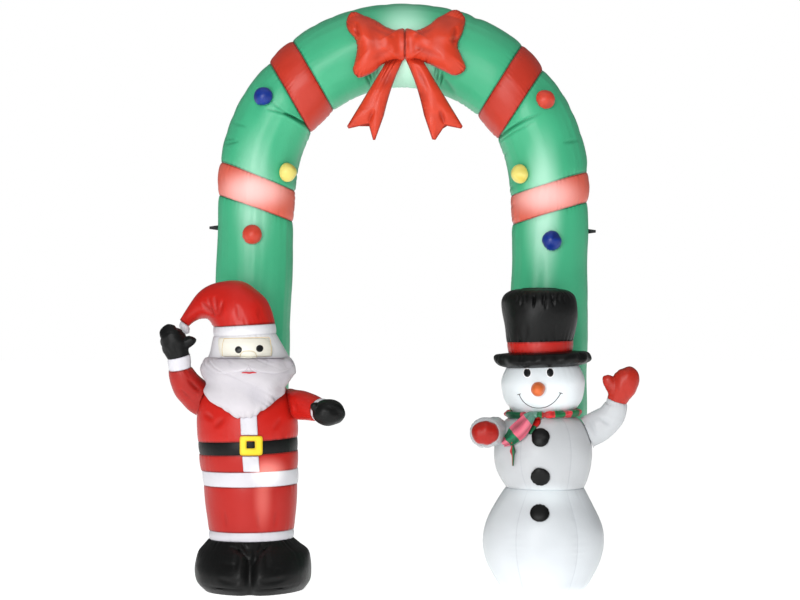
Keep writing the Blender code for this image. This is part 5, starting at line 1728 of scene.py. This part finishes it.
def frame_between(name: str, outer: Array, inner: Array, lifts: tuple[float, float],
                  bed: Callable[[Array], Array]) -> Object:
    """A flat puffed frame between two outlines with equally many places, seen from the front.

    Args:
        name: the new object's name.
        outer: x, z of the outside.
        inner: x, z of the hole.
        lifts: its back and its front, off the bed.
        bed: the y behind it for each x.

    Returns:
        The object.
    """
    def fill(u: Array, v: Array) -> Form:
        """The form over the grid, from shares round and along it."""
        count = len(outer)
        around = u * count
        outside, inside = (np.stack([np.interp(around, np.arange(count + 1), [*edge[:, k], edge[0, k]])
                                     for k in (0, 1)], axis=1) for edge in (outer, inner))
        turn = 2 * math.pi * v
        across = (1 - squared(np.cos(turn), 0.6)) / 2
        up = squared(np.sin(turn), 0.5)
        spot = outside + (inside - outside) * across[:, None]
        lift = (lifts[0] + lifts[1]) / 2 + (lifts[1] - lifts[0]) / 2 * up
        # the last mark is painted shade on the frame's back half, under it
        return Form(stack(spot[:, 0], bed(spot[:, 0]) - lift, spot[:, 1]), spot,
                    np.abs(across - 0.5) * -0.02 + 0.011, np.clip(-up, 0, 1) * 0.5)

    return cut_and_sew(name, 160, 28, fill)


@dataclass
class Elder:
    """The bearded figure before the left leg."""

    boots: Slice = Slice(
        "elder_boots", ELDER_BOOTS, 0.0, ELDER_HEM, BLACK, Tucks(0.03, 0.0075, 0.045, 1001),
        stands=True, dent=0.0035, columns=208, wide=0.006, creases=troughs((-676, 190, -592, 120, 12, 7, 12),
            (-507, 197, -580, 110, 12, 7, -10), (-630, 200, -600, 160, 9, 7), (-545, 200, -570, 155, 9, 7),
            (-712, 130, -640, 122, 4, 10, -6), (-520, 110, -450, 106, 4, 10, -6),
            (-720, 70, -620, 60, 4, 12, -6), (-560, 60, -440, 70, 4, 12, -6), (-790, 36, -605, 30, 6, 4, -4),
            (-580, 30, -395, 36, 6, 4, -4), (-640, 180, -650, 100, 4, 10), (-530, 180, -520, 100, 4, 10)))
    slices: tuple[Slice, ...] = (
        Slice("elder_hem_trim", ELDER, ELDER_HEM, 0.241, WHITE, Tucks(0.022, 0.0036, 0.02, 1011),
              dent=0.002, wide=0.004),
        Slice("elder_skirt", ELDER, 0.241, 0.424, RED_WARM, Tucks(0.024, 0.0026, 0.022, 1021), pull=0.4,
              creases=troughs((-690, 262, -700, 330, 3, 8), (-560, 258, -566, 330, 3, 8),
                              (-500, 262, -492, 330, 3, 8))),
        Slice("elder_waist_trim", ELDER, 0.424, 0.483, WHITE, Tucks(0.02, 0.003, 0.022, 1031),
              dent=0.0016, wide=0.005, pull=0.4),
        Slice("elder_tunic", ELDER, 0.483, 0.553, RED_WARM, Tucks(0.022, 0.0026, 0.022, 1041),
              wide=0.005, pull=0.4),
        Slice("elder_belt", ELDER, 0.553, 0.605, BLACK, Tucks(0.02, 0.0024, 0.022, 1051),
              wide=0.005, pull=0.4),
        Slice("elder_chest", ELDER, 0.605, 0.832, RED, Tucks(0.024, 0.003, 0.026, 1061), pull=0.5,
              creases=troughs((-438, 752, -440, 690, 4, 10), (-740, 660, -700, 700, 4, 12),
                              (-500, 650, -470, 700, 3, 10), (-780, 715, -745, 690, 5, 10))),
        Slice("elder_head", ELDER_HEAD, ELDER_NECK, ELDER_HAT_UNDER, WHITE,
              Tucks(0.024, 0.004, 0.03, 1071), dent=0.002, pull=0.3),
    )
    brim: Slice = Slice("elder_hat_brim", ELDER_BRIM, ELDER_HAT_UNDER, ELDER_HAT_OVER, WHITE,
                        Tucks(0.02, 0.003, 0.022, 1081), dent=0.002, wide=0.004, pull=0.2)
    plackets: tuple[Pad, ...] = tuple(
        Pad(f"elder_placket_{part}", ELDER, rows, WHITE, shift=0.021, columns=72, steps=36, round_end=0.003,
            uneven=0.0008)
        for part, rows in (("upper", mm((632, 33, 1), (672, 33, 4), (712, 33, 1))),
                           ("lower", mm((487, 32, 1), (518, 32, 4), (549, 32, 1)))))
    beard: Pad = Pad(
        "elder_beard", BEARD_BED,
        mm((700, 26, 12), (714, 46, 24), (738, 90, 38), (764, 126, 46), (804, 150, 51), (851, 159, 52),
            (883, 174, 46), (918, 176, 30), (938, 168, 10)),
        BEARD, rim=0.005, tucks=Tucks(0.017, 0.013, 0.034, 1091), uneven=0.0035, round_end=0.008,
        columns=240, steps=112, jag=0.005)
    face: Pad = Pad(
        "elder_face", ELDER_HEAD,
        mm((942, 98, 3), (960, 104, 12), (990, 104, 12), (1016, 98, 3)),
        CREAM, columns=180, steps=60, uneven=0.001, round_end=0.003)
    hat: Cone = Cone("elder_hat", mm((-503, 1071.6, -757, 1058.2, 128), (-520, 1126, -763, 1072, 122),
        (-555, 1185, -770, 1084, 113), (-611, 1232, -780, 1091, 99), (-680, 1248, -793, 1092, 82),
        (-748, 1236, -807, 1090, 66), (-809, 1203, -823, 1083, 51), (-850, 1157, -838, 1074, 38),
        (-890, 1086, -852, 1061, 19)), RED, Tucks(0.026, 0.004, 0.03, 1101), troughs(
            (-740, 1100, -797, 1160, 7, 10), (-746, 1106, -770, 1180, 6, 9), (-728, 1100, -742, 1185, 6, 10),
            (-722, 1098, -706, 1170, 5, 9), (-640, 1085, -650, 1150, 3, 10), (-560, 1090, -565, 1140, 3, 10)))
    hat_tip: Cone = Cone("elder_hat_tip", mm((-890.6, 1085, -852.4, 1060, 19), (-897, 1066, -851, 1048, 23),
        (-890, 1045, -853, 1036, 19), (-876, 1029, -861, 1027, 7)),
        WHITE, Tucks(0.014, 0.0022, 0.018, 1111), columns=56, wide=0.003, closes=True)
    raised: Limb = Limb(mm((-780, -110, 752, 66, 58), (-829, -120, 790, 66, 58), (-860, -140, 830, 61, 56),
        (-879, -158, 872, 52, 50), (-884.5, -164, 893, 46, 45), (-886.5, -168, 916, 47, 46),
        (-888.8, -172, 940, 46, 45), (-902, -178, 985, 54, 50), (-914, -184, 1026, 50.5, 48),
        (-918, -188, 1050, 40, 38), (-914, -190, 1070, 14, 14)))
    raised_thumb: Limb = Limb(mm((-880, -182, 983, 24, 24), (-850, -187, 999, 24, 25),
        (-828, -190, 1010, 19, 20), (-818, -192, 1014, 7, 7)))
    level: Limb = Limb(mm((-450, -112, 752, 56, 58), (-400, -165, 746, 58, 58), (-345, -222, 736, 52, 52),
        (-318, -254, 730, 47, 47), (-309, -265, 728, 48, 48), (-300, -276, 726.5, 47, 46),
        (-288, -300, 725, 63, 50), (-277, -328, 724, 66, 52), (-268, -356, 723, 46, 38),
        (-264, -368, 723, 14, 12)), (0, 0, 1))
    level_thumb: Limb = Limb(mm((-318, -318, 740, 18, 18), (-332, -333, 747, 20, 20),
        (-335, -350, 750, 16, 16), (-334, -358, 750, 6, 6)), (0, 0, 1))

    def arms(self) -> tuple[Sleeve | Mitten, ...]:
        """The pieces of both arms."""
        return (
            Sleeve("elder_sleeve_raised", self.raised, 0, 4, SLEEVE_RED,
                   Tucks(0.022, 0.005, 0.03, 1201), troughs(
                       (-800, 800, -850, 850, 5, 10), (-830, 760, -880, 810, 4, 9)), beside(ELDER, -1)),
            Sleeve("elder_cuff_raised", self.raised, 4, 6, WHITE, Tucks(0.018, 0.0024, 0.018, 1211),
                   wide=0.0035, pull=0.3),
            Mitten("elder_mitten_raised", self.raised, 6, self.raised_thumb, BLACK,
                   Tucks(0.02, 0.004, 0.024, 1221)),
            Sleeve("elder_sleeve_side", self.level, 0, 3, RED, Tucks(0.022, 0.005, 0.034, 1231), troughs(
                (-455, 790, -440, 715, 7, 12), (-430, 780, -410, 720, 4, 10)), beside(ELDER, 1)),
            Sleeve("elder_cuff_side", self.level, 3, 5, WHITE, Tucks(0.018, 0.0024, 0.018, 1241),
                   wide=0.0035, pull=0.3),
            Mitten("elder_mitten_side", self.level, 5, self.level_thumb, BLACK,
                   Tucks(0.02, 0.004, 0.024, 1251), hem=0.0006),
        )

    def buckle(self) -> None:
        """The yellow square frame on the belt, with its hole."""
        turn = 2 * math.pi * np.linspace(0, 1, 161)[:-1]

        def rounded(x0: float, x1: float, z0: float, z1: float, power: float) -> Array:
            """A rectangle with round corners."""
            return stack((x0 + x1) / 2 + (x1 - x0) / 2 * squared(np.cos(turn), power),
                         (z0 + z1) / 2 + (z1 - z0) / 2 * squared(np.sin(turn), power))

        piece = frame_between("elder_buckle_cloth", rounded(-0.633, -0.543, 0.553, 0.63, 0.22),
                              rounded(-0.606, -0.573, 0.581, 0.61, 0.28), (0.0068, 0.0135),
                              lambda x: ELDER.front(x, 0.6))
        dress(piece, "elder_buckle", YELLOW)

    def features(self, face: Object, beard: Object) -> None:
        """Eyes, nose, mouth, moustache and the stitched outline of the face."""
        bed = Bed(face)
        for side, x, z in (("left", -0.6405, 0.97), ("right", -0.557, 0.9745)):
            Applique(f"elder_eye_{side}", ellipse(x, z, 0.014, 0.014), (x, z), INK,
                     crown=0.0025, columns=48, rows=16).build(bed)
        both = Bed(face, beard)
        nose = mm((-633, 931), (-633, 945), (-628, 958), (-617, 964), (-601, 965.5), (-585, 964), (-574, 958),
            (-569, 945), (-569, 931))
        Applique("elder_nose", (*nose, (-0.601, 0.929)), (-0.601, 0.948), CREAM, crown=0.005,
                 columns=96, rows=20).build(both)
        Stitching("elder_nose_stitch", nose, TAN, 0.0011).build(both)
        face_edge = mm((-706, 944), (-708, 975), (-702, 1008), (-690, 1013), (-610, 1016.5), (-535, 1019),
                       (-519, 1016), (-513, 990), (-514, 944))
        Stitching("elder_face_stitch", face_edge, TAN, 0.0011, steps=160).build(bed)
        moustache = mm((-596, 939), (-650, 942), (-710, 941), (-756, 930), (-768, 908), (-740, 885),
            (-700, 875.5), (-660, 879), (-625, 885), (-596, 888), (-567, 885), (-532, 879), (-492, 875.5),
            (-452, 885), (-424, 908), (-436, 930), (-482, 941), (-542, 942))
        under = Bed(beard, face)
        piece = Applique("elder_moustache", moustache, (-0.596, 0.911), BEARD, crown=0.012,
                         tucks=Tucks(0.026, 0.005, 0.02, 1301), columns=240, rows=44, creases=troughs(
                             (-680, 938, -660, 900, 3, 7), (-515, 938, -535, 900, 3, 7))).build(under)
        Stitching("elder_mouth", mm((-624, 880), (-608, 881.5), (-594, 880), (-580, 881.5), (-565, 880)), LIP,
                  0.0036, taper=True).build(Bed(piece, beard))

    def build(self) -> None:
        """Make and dress the figure from the ground up."""
        for piece in (self.boots, *self.slices, self.brim, *self.plackets, self.hat, self.hat_tip,
                      *self.arms()):
            piece.build()
        self.buckle()
        self.features(self.face.build(), self.beard.build())


# ---- snowman

SNOW_BASE = Body(mm((0, 578.5, 165, 165, 100), (22, 578.5, 186, 190, 115), (62.5, 578.5, 209, 213, 125),
    (107, 578.5, 230, 233, 130), (155.5, 578.5, 243, 245, 131), (196, 578.5, 247, 248, 131),
    (245, 578.5, 243, 243, 131), (293, 578, 226, 229, 131), (334, 579, 204, 209, 129),
    (375, 582, 180, 187, 124), (411, 585.5, 161, 168, 118)), gores=0.02)
SNOW_BODY = Body(mm((411, 585.5, 161, 168, 118), (440, 582, 174, 178, 124), (479, 579, 190, 191, 128),
    (520, 579, 199, 199, 130), (560, 579, 201.3, 200, 130), (600, 579, 195, 193, 128),
    (645, 579, 178, 177, 118), (680, 579, 152, 152, 100), (704, 579, 115, 117, 74)), gores=0.012)
SNOW_HEAD = Body(mm((704, 578.5, 112, 112, 74), (719, 578.5, 126, 124, 83), (762, 578.5, 157, 152, 110),
    (819, 578.5, 168, 164, 126), (851, 578.5, 166, 162, 125), (898, 577.5, 148, 146, 118)),
    slopes=((0.8, 0.0), (0.9, 0.037)))
SNOW_HAT = Body(mm((898, 577.5, 146, 145, 115), (903, 577.5, 166, 163, 122), (910, 577.5, 184, 178, 128),
    (919, 577.5, 193, 187, 131), (928, 577, 195, 189, 132), (940, 576, 193, 187, 131),
    (950, 574, 186, 180, 128), (955.5, 572, 168, 162, 122), (957, 570, 134, 132, 112)),
    slopes=((0.8, 0.037), (1.0, 0.037)))
SNOW_CROWN = Body(mm((957, 568, 131, 129, 112), (980, 567, 134, 131, 113), (1000, 567, 136, 133, 114),
    (1050, 567, 143, 141, 120), (1100, 567, 150, 147, 125), (1140, 567, 152, 149, 126),
    (1170, 566, 149, 146, 124), (1192, 565.5, 136, 134, 115), (1207, 565, 110, 108, 96),
    (1213.5, 565, 70, 70, 64)),
    slopes=((0.957, 0.037), (1.0, 0.024), (1.2, 0.0)))
SNOW_WAIST = 0.411
SNOW_NECK = 0.704
SNOW_BRIM_UNDER = 0.898
SNOW_BAND_UNDER = 0.957
SNOW_BAND_OVER = 1.000
SNOW_HAT_END = 1.2138

# Side of a button, as shares of its radius: out and up from the cloth, crest to back
BUTTON_SIDE = ((0, 0.36), (0.3, 0.355), (0.6, 0.31), (0.84, 0.22), (0.98, 0.12), (0.97, 0.05), (0.6, 0.02),
               (0.3, 0.02), (0, 0.02))
NOSE_SIDE = ((0, 2.0), (0.24, 1.97), (0.52, 1.79), (0.78, 1.42), (0.95, 0.9), (1.0, 0.42), (0.92, 0.08),
             (0.5, 0.035), (0, 0.035))


@dataclass(frozen=True)
class NeckRoll(Sewn):
    """The padded part of the scarf round the neck, with its knot."""

    node: str = "snow_scarf_neck"
    level: float = 0.71
    middle: float = 0.5785
    ring: tuple[float, float, float] = (0.141, 0.144, 0.1)    # half width, front and back depth
    thick: float = 0.0175
    knot_turn: float = 2 * math.pi - 1.87
    knot_half: float = 0.17
    knot_swell: float = 0.55
    finish: Nylon = SCARF_RING
    columns: int = 40
    steps: int = 260
    tight = 0.6

    def fill(self, u: Array, v: Array) -> Form:
        """The filled form: columns round the roll, rows round the neck."""
        turn, roll = 2 * math.pi * v, 2 * math.pi * u
        rise = np.sin(turn)
        deep = np.where(rise > 0, self.ring[2] * np.abs(rise) ** 0.7, self.ring[1] * rise)
        centre = stack(self.middle + self.ring[0] * np.cos(turn), FIGURE_Y + deep, self.level)
        outward = stack(np.cos(turn), np.sin(turn), 0)
        near = np.exp(-((turn - self.knot_turn) / self.knot_half) ** 2)
        out, up = np.cos(roll), np.sin(roll)
        swell = 1 + self.knot_swell * near * np.maximum(out, 0)
        along = turn * 0.15
        fold = 0.0034 * (1 - near) * np.abs(np.sin(1.5 * roll + 1.2 * np.sin(3 * turn))) ** 2.5
        fold = fold + Tucks(0.026, 0.0035, 0.03, 1401).depth_at(along, np.abs(up) * self.thick, 0.94)
        pinch = 0.006 * (np.exp(-((turn - self.knot_turn - 0.27) / 0.05) ** 2)
                         + np.exp(-((turn - self.knot_turn + 0.27) / 0.05) ** 2))
        radius = self.thick - fold - pinch
        tilt = 0.03 * self.ring[0] * np.cos(turn)               # a little higher on its right
        places = centre + outward * (radius * swell * out)[:, None] + stack(0, 0, 0.88 * radius * up + tilt)
        # the fourth mark is painted shade in its tucks and pinches
        return Form(places, stack(roll * self.thick, along)[:, :2], u * 0 + FAR,
                    np.clip((fold + pinch) / 0.01, 0, 0.5), v % 1.0)


@dataclass(frozen=True)
class ScarfTail:
    """A loose end of the scarf: one thin strip that hangs over the body."""

    node: str
    rows: Table     # x, z, half width, standing off the body
    finish: Nylon
    flat: tuple[float, float]
    lengthwise: bool                                        # whether its stripes follow each other down
    thick: float = 0.0022
    ripple: float = 0.0035
    seed: int = 1501

    def fill(self, u: Array, v: Array) -> Form:
        """The hanging form: columns run across its outer side and back inside, rows down."""
        last = len(self.rows) - 1
        x, z, half, off = spline(self.rows, v * last).T
        way = unit(spline(self.rows, np.minimum(v * last + 0.1, last))[:, :2]
                   - spline(self.rows, np.maximum(v * last - 0.1, 0))[:, :2])
        share = -np.cos(2 * math.pi * u)
        x, z = x - way[:, 1] * half * share, z + way[:, 0] * half * share
        reach = 0.004
        y = SNOW_BODY.front(x, z)
        slope_x = (SNOW_BODY.front(x + reach, z) - SNOW_BODY.front(x - reach, z)) / (2 * reach)
        slope_z = (SNOW_BODY.front(x, z + reach) - SNOW_BODY.front(x, z - reach)) / (2 * reach)
        outward = unit(stack(slope_x, -1, slope_z))
        side = np.sqrt(np.maximum(1 - share ** 10, 0)) * np.where(u <= 0.5, 1, -1) * self.thick / 2
        uneven = 0.5 * wander(stack(x, 0, z), 0.05, self.seed)
        wave = self.ripple * (np.sin(share * 5.2 + 1.0 + 1.6 * v) + uneven)
        wave = wave * np.clip(v / 0.2, 0.25, 1)
        places = stack(x, y, z) + outward * (off + 2 * REST + self.ripple * 1.2 + wave + side)[:, None]
        # the fourth mark is painted shade where its ripples dip in
        return Form(places, stack(share * half, v * self.flat[1])[:, :2], u * 0 + FAR,
                    np.clip(-wave / 0.01, 0, 0.4), v if self.lengthwise else (share + 1) / 2)

    def build(self) -> Object:
        """Cut it, hang it and dress it."""
        piece = cut_and_sew(f"{self.node}_cloth", 72, 60, self.fill)
        dress(piece, self.node, self.finish)
        return piece


@dataclass
class Snowman:
    """The snowman before the right leg."""

    slices: tuple[Slice, ...] = (
        Slice("snow_base", SNOW_BASE, 0.0, SNOW_WAIST, SNOW, Tucks(0.024, 0.004, 0.034, 1601),
              Tucks(0.034, 0.0026, 0.026, 1603), stands=True, columns=192, dent=0.002),
        Slice("snow_body", SNOW_BODY, SNOW_WAIST, SNOW_NECK, SNOW_SHADED, Tucks(0.024, 0.004, 0.034, 1611),
              Tucks(0.034, 0.0024, 0.026, 1613), columns=192, dent=0.002),
        Slice("snow_head", SNOW_HEAD, SNOW_NECK, SNOW_BRIM_UNDER, SNOW,
              Tucks(0.022, 0.0036, 0.028, 1621), columns=176, pull=0.6),
        Slice("snow_hat_brim", SNOW_HAT, SNOW_BRIM_UNDER, SNOW_BAND_UNDER, BLACK,
              Tucks(0.022, 0.007, 0.03, 1631), dent=0.0045, wide=0.003, columns=208, pull=0.2, lump=0.07),
        Slice("snow_hat_band", SNOW_CROWN, SNOW_BAND_UNDER, SNOW_BAND_OVER, RED,
              Tucks(0.022, 0.003, 0.02, 1641), wide=0.004, dent=0.0016, pull=0.3),
        Slice("snow_hat_top", SNOW_CROWN, SNOW_BAND_OVER, SNOW_HAT_END, BLACK,
              Tucks(0.024, 0.0075, 0.03, 1651), dent=0.0035, closes=0.004, wide=0.005, columns=240, pull=0.3,
              creases=(
                  *(Crease((x, 1.196), (x + lean, 1.186 - 0.62 * long), 0.007, 0.0048, bow=lean)
                    for x, lean, long in mm(
                      (462, 6, 45), (478, 4, 70), (505, -3, 40), (528, 2, 82), (541, -4, 55), (566, 3, 64),
                      (583, -2, 90), (601, 4, 50), (617, -4, 75), (640, -6, 45), (665, -8, 60))),
                  *troughs((500, 1010, 505, 1070, 4, 10), (620, 1010, 615, 1070, 4, 10)))),
    )
    raised: Limb = Limb(mm((742, -110, 622, 63, 56), (800, -114, 656, 64, 56), (846, -122, 692, 58, 52),
        (869, -132, 736, 48, 45), (873.7, -135.7, 761, 41, 40), (888, -142, 795, 50, 46),
        (906, -148, 832, 55, 48), (914, -152, 864, 51, 44), (915, -154, 886, 36, 32),
        (914, -155, 898, 12, 12)))
    raised_thumb: Limb = Limb(mm((876, -150, 796, 40, 30), (852, -153, 826, 31, 27), (834, -155, 852, 22, 21),
        (827, -156, 866, 10, 10)))
    forward: Limb = Limb(mm((386, -130, 640, 52, 56), (368, -195, 640, 54, 56), (350, -255, 642, 54, 54),
        (341.7, -288, 643, 46, 44), (336, -315, 644, 54, 46), (334, -342, 644, 53, 44.5),
        (332, -361, 645, 37, 30), (331, -370, 645, 12, 10)), (0, 0, 1))
    forward_thumb: Limb = Limb(mm((350, -310, 656, 26, 24), (358, -328, 661, 26, 24),
        (358, -346, 663, 20, 18), (356, -357, 663, 8, 8)), (0, 0, 1))
    forward_sleeve: Limb = Limb(mm((386, -130, 640, 52, 56), (368, -195, 640, 56, 58),
        (346, -245, 640, 60, 60), (336, -274, 641, 64, 63), (331.3, -288.5, 641, 57, 56)), (0, 0, 1))
    tails: tuple[ScarfTail, ...] = (
        ScarfTail("snow_scarf_tail_long", mm((532, 686, 12, 26), (514, 667, 21, 22), (482, 640, 30, 12),
            (448, 612, 25, 6), (420, 590, 13, 5)), SCARF_TAIL, (0.068, 0.16), True,
            ripple=0.0045),
        ScarfTail("snow_scarf_tail_short", mm((452, 600, 4, 4), (455, 584, 5, 8), (458, 566, 10, 14),
            (460, 548, 5, 16), (461, 514, 3.5, 18)), SCARF_EDGE, (0.018, 0.088), False,
            ripple=0.0015, seed=1511),
    )
    buttons: tuple[tuple[str, Body, float, float], ...] = (
        ("snow_button_top", SNOW_BODY, 0.555, 0.622), ("snow_button_middle", SNOW_BODY, 0.555, 0.47),
        ("snow_button_low", SNOW_BASE, 0.551, 0.326))

    def arms(self) -> tuple[Sleeve | Mitten, ...]:
        """The pieces of both arms."""
        def breast(points: Array, lift: Array) -> Array:
            """The points, none closer to the front of the body than their lift."""
            wall = SNOW_BODY.front(points[:, 0], points[:, 2]) - 3 * REST - lift
            return stack(points[:, 0], np.minimum(points[:, 1], wall), points[:, 2])

        return (
            Sleeve("snow_arm_raised", self.raised, 0, 4, SNOW_SHADED, Tucks(0.022, 0.005, 0.034, 1701), troughs(
                (800, 700, 850, 660, 5, 10), (760, 690, 790, 620, 5, 10)), beside(SNOW_BODY, 1)),
            Mitten("snow_mitten_raised", self.raised, 4, self.raised_thumb, MITTEN_RED,
                   Tucks(0.02, 0.004, 0.024, 1711)),
            Sleeve("snow_arm_front", self.forward_sleeve, 0, 4, SNOW_SHADED, Tucks(0.022, 0.005, 0.034, 1721),
                   troughs((300, 670, 350, 600, 5, 10)), breast),
            Mitten("snow_mitten_front", self.forward, 3, self.forward_thumb, SLEEVE_RED,
                   Tucks(0.02, 0.004, 0.024, 1731), hem=0.0006),
        )

    def features(self, head: Object) -> None:
        """Eyes and mouth."""
        bed = Bed(head)
        for side, x, z in (("left", 0.506, 0.8775), ("right", 0.5965, 0.879)):
            Applique(f"snow_eye_{side}_rim", ellipse(x, z, 0.0168, 0.0196), (x, z), HALO,
                     columns=56, rows=14).build(bed)
            Applique(f"snow_eye_{side}", ellipse(x, z, 0.0135, 0.017), (x, z), INK,
                     thick=0.0024, crown=0.002, columns=56, rows=18).build(bed)
        Stitching("snow_mouth", mm((474.5, 791), (490, 764), (517, 744), (549, 737), (584, 743), (616, 765),
            (639, 797)), INK,
                  0.0015).build(bed)
        for side, path in (("left", mm((468, 789), (474.5, 791.5), (481, 793))),
                           ("right", mm((631, 798.5), (639, 797.5), (646, 794.5)))):
            Stitching(f"snow_mouth_end_{side}", path, INK, 0.0013, steps=20).build(bed)

    def build(self) -> None:
        """Make and dress the snowman from the ground up."""
        made = {piece.node: piece.build() for piece in (*self.slices, *self.arms())}
        roll = NeckRoll().build()
        tails = [tail.build() for tail in self.tails]
        bed = Bed(roll, tails[0], made["snow_body"])
        for part, x, z, half, high, finish in (("low", 0.527, 0.656, 0.011, 0.026, SCARF_DARK),
                                               ("high", 0.542, 0.68, 0.015, 0.025, SCARF_BRIGHT)):
            loop = tuple((x + 0.82 * (a - x) + 0.57 * (b - z), z - 0.57 * (a - x) + 0.82 * (b - z))
                         for a, b in ellipse(x, z, half, high))
            Applique(f"snow_scarf_knot_{part}", loop, (x, z), finish, crown=0.011,
                     tucks=Tucks(0.012, 0.004, 0.016, 1521), columns=64, rows=24).build(bed)
        for number, (node, body, x, z) in enumerate(self.buttons):
            place, outward = body.facing(x, z)
            Puff(node, BLACK, 0.0385, BUTTON_SIDE, Tucks(0.02, 0.003, 0.018, 1801 + 10 * number),
                 rows=30, hem=0.08).build(place + outward * 2 * REST, outward)
        place, outward = SNOW_HEAD.facing(0.55, 0.816)
        Puff("snow_nose", ORANGE, 0.029, NOSE_SIDE, Tucks(0.018, 0.0022, 0.02, 1841),
             hem=0.1).build(place + outward * 2 * REST, outward)
        self.features(made["snow_head"])


# ---- studio

@dataclass(frozen=True)
class SoftBox:
    """A rectangular lamp with a diffusing front."""

    place: tuple[float, float, float]
    aim: tuple[float, float, float]
    size: tuple[float, float]
    power: float
    tint: str = "FFFFFF"

    def build(self, name: str) -> None:
        """Hang it in the studio."""
        light = bpy.data.lights.new(name, "AREA")
        light.shape = "RECTANGLE"
        light.size, light.size_y = self.size
        light.energy = self.power
        light.color = linear(self.tint)[:3]
        item = bpy.data.objects.new(name, light)
        item.location = self.place
        item.rotation_euler = (Vector(self.aim) - Vector(self.place)).to_track_quat("-Z", "Y").to_euler()
        bpy.context.scene.collection.objects.link(item)


@dataclass(frozen=True)
class Studio:
    """A white floor in a white room, lit from the front, and the camera."""

    eye: tuple[float, float, float] = (0.0, -8.302, 1.167)
    lens: float = 91.2
    sensor: float = 36.0
    boxes: tuple[tuple[str, SoftBox], ...] = (
        ("front", SoftBox((-0.6, -7.0, 3.0), (0.0, 0.0, 1.2), (2.2, 1.8), 155.0)),
        ("streak", SoftBox((-2.9, -7.6, 1.7), (0.0, 0.0, 1.2), (1.1, 3.2), 165.0)),
        ("over", SoftBox((0.0, -1.0, 5.5), (0.0, 0.0, 0.0), (5.0, 5.0), 40.0)),
    )

    def place_camera(self) -> None:
        """Put the camera level in front of the object, at half its height."""
        camera = bpy.data.cameras.new("camera")
        camera.lens = self.lens
        camera.sensor_width = self.sensor
        item = bpy.data.objects.new("camera", camera)
        item.location = self.eye
        item.rotation_euler = (math.pi / 2, 0.0, 0.0)
        bpy.context.scene.collection.objects.link(item)
        bpy.context.scene.camera = item

    def lay_floor(self) -> None:
        """A wide floor of opal acrylic, lit from beneath, so that it stays white far away."""
        shape = bmesh.new()
        bmesh.ops.create_grid(shape, x_segments=1, y_segments=1, size=30.0)
        mesh = bpy.data.meshes.new("floor")
        shape.to_mesh(mesh)
        shape.free()
        opal = bpy.data.materials.new("opal acrylic, lit from beneath")
        opal.use_nodes = True
        feed(opal.node_tree, opal.node_tree.nodes["Principled BSDF"], {
            "Base Color": linear("F4F4F4"), "Roughness": 0.9, "Emission Color": linear("FFFFFF"),
            "Emission Strength": 0.9})
        mesh.materials.append(opal)
        item = bpy.data.objects.new("floor", mesh)
        bpy.context.scene.collection.objects.link(item)

    def light_room(self) -> None:
        """White walls all round, brighter to the eye than as a light, and the soft boxes."""
        room = bpy.data.worlds.new("white room")
        room.use_nodes = True
        tree = room.node_tree
        seen = add_node(tree, "LightPath")
        power = add_node(tree, "MapRange",
                         {"Value": seen.outputs["Is Camera Ray"], "To Min": 0.17, "To Max": 1.0})
        back = tree.nodes["Background"]
        back.inputs["Color"].default_value = (1.0, 1.0, 1.0, 1.0)
        tree.links.new(power.outputs[0], back.inputs["Strength"])
        bpy.context.scene.world = room
        for name, box in self.boxes:
            box.build(name)

    def build(self) -> None:
        """The floor, the room and the tones of a plain photograph."""
        self.lay_floor()
        self.light_room()
        bpy.context.scene.view_settings.view_transform = "Standard"


def corners(bounds: Sequence[Sequence[float]]) -> list[list[float]]:
    """A box's two corners as plain lists."""
    return [[float(value) for value in corner] for corner in bounds]


def main() -> None:
    """Load the solids, make every piece of cloth, and set up the studio."""
    logging.basicConfig(level=logging.INFO, format="%(message)s")
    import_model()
    studio = Studio()
    studio.place_camera()
    tube = ArchTube()
    for part in (tube, Balls(tube.panels()), Bow(), Tethers(), Elder(), Snowman()):
        log.info("-- %s", type(part).__name__)
        part.build()
    studio.build()


if __name__ == "__main__":
    main()
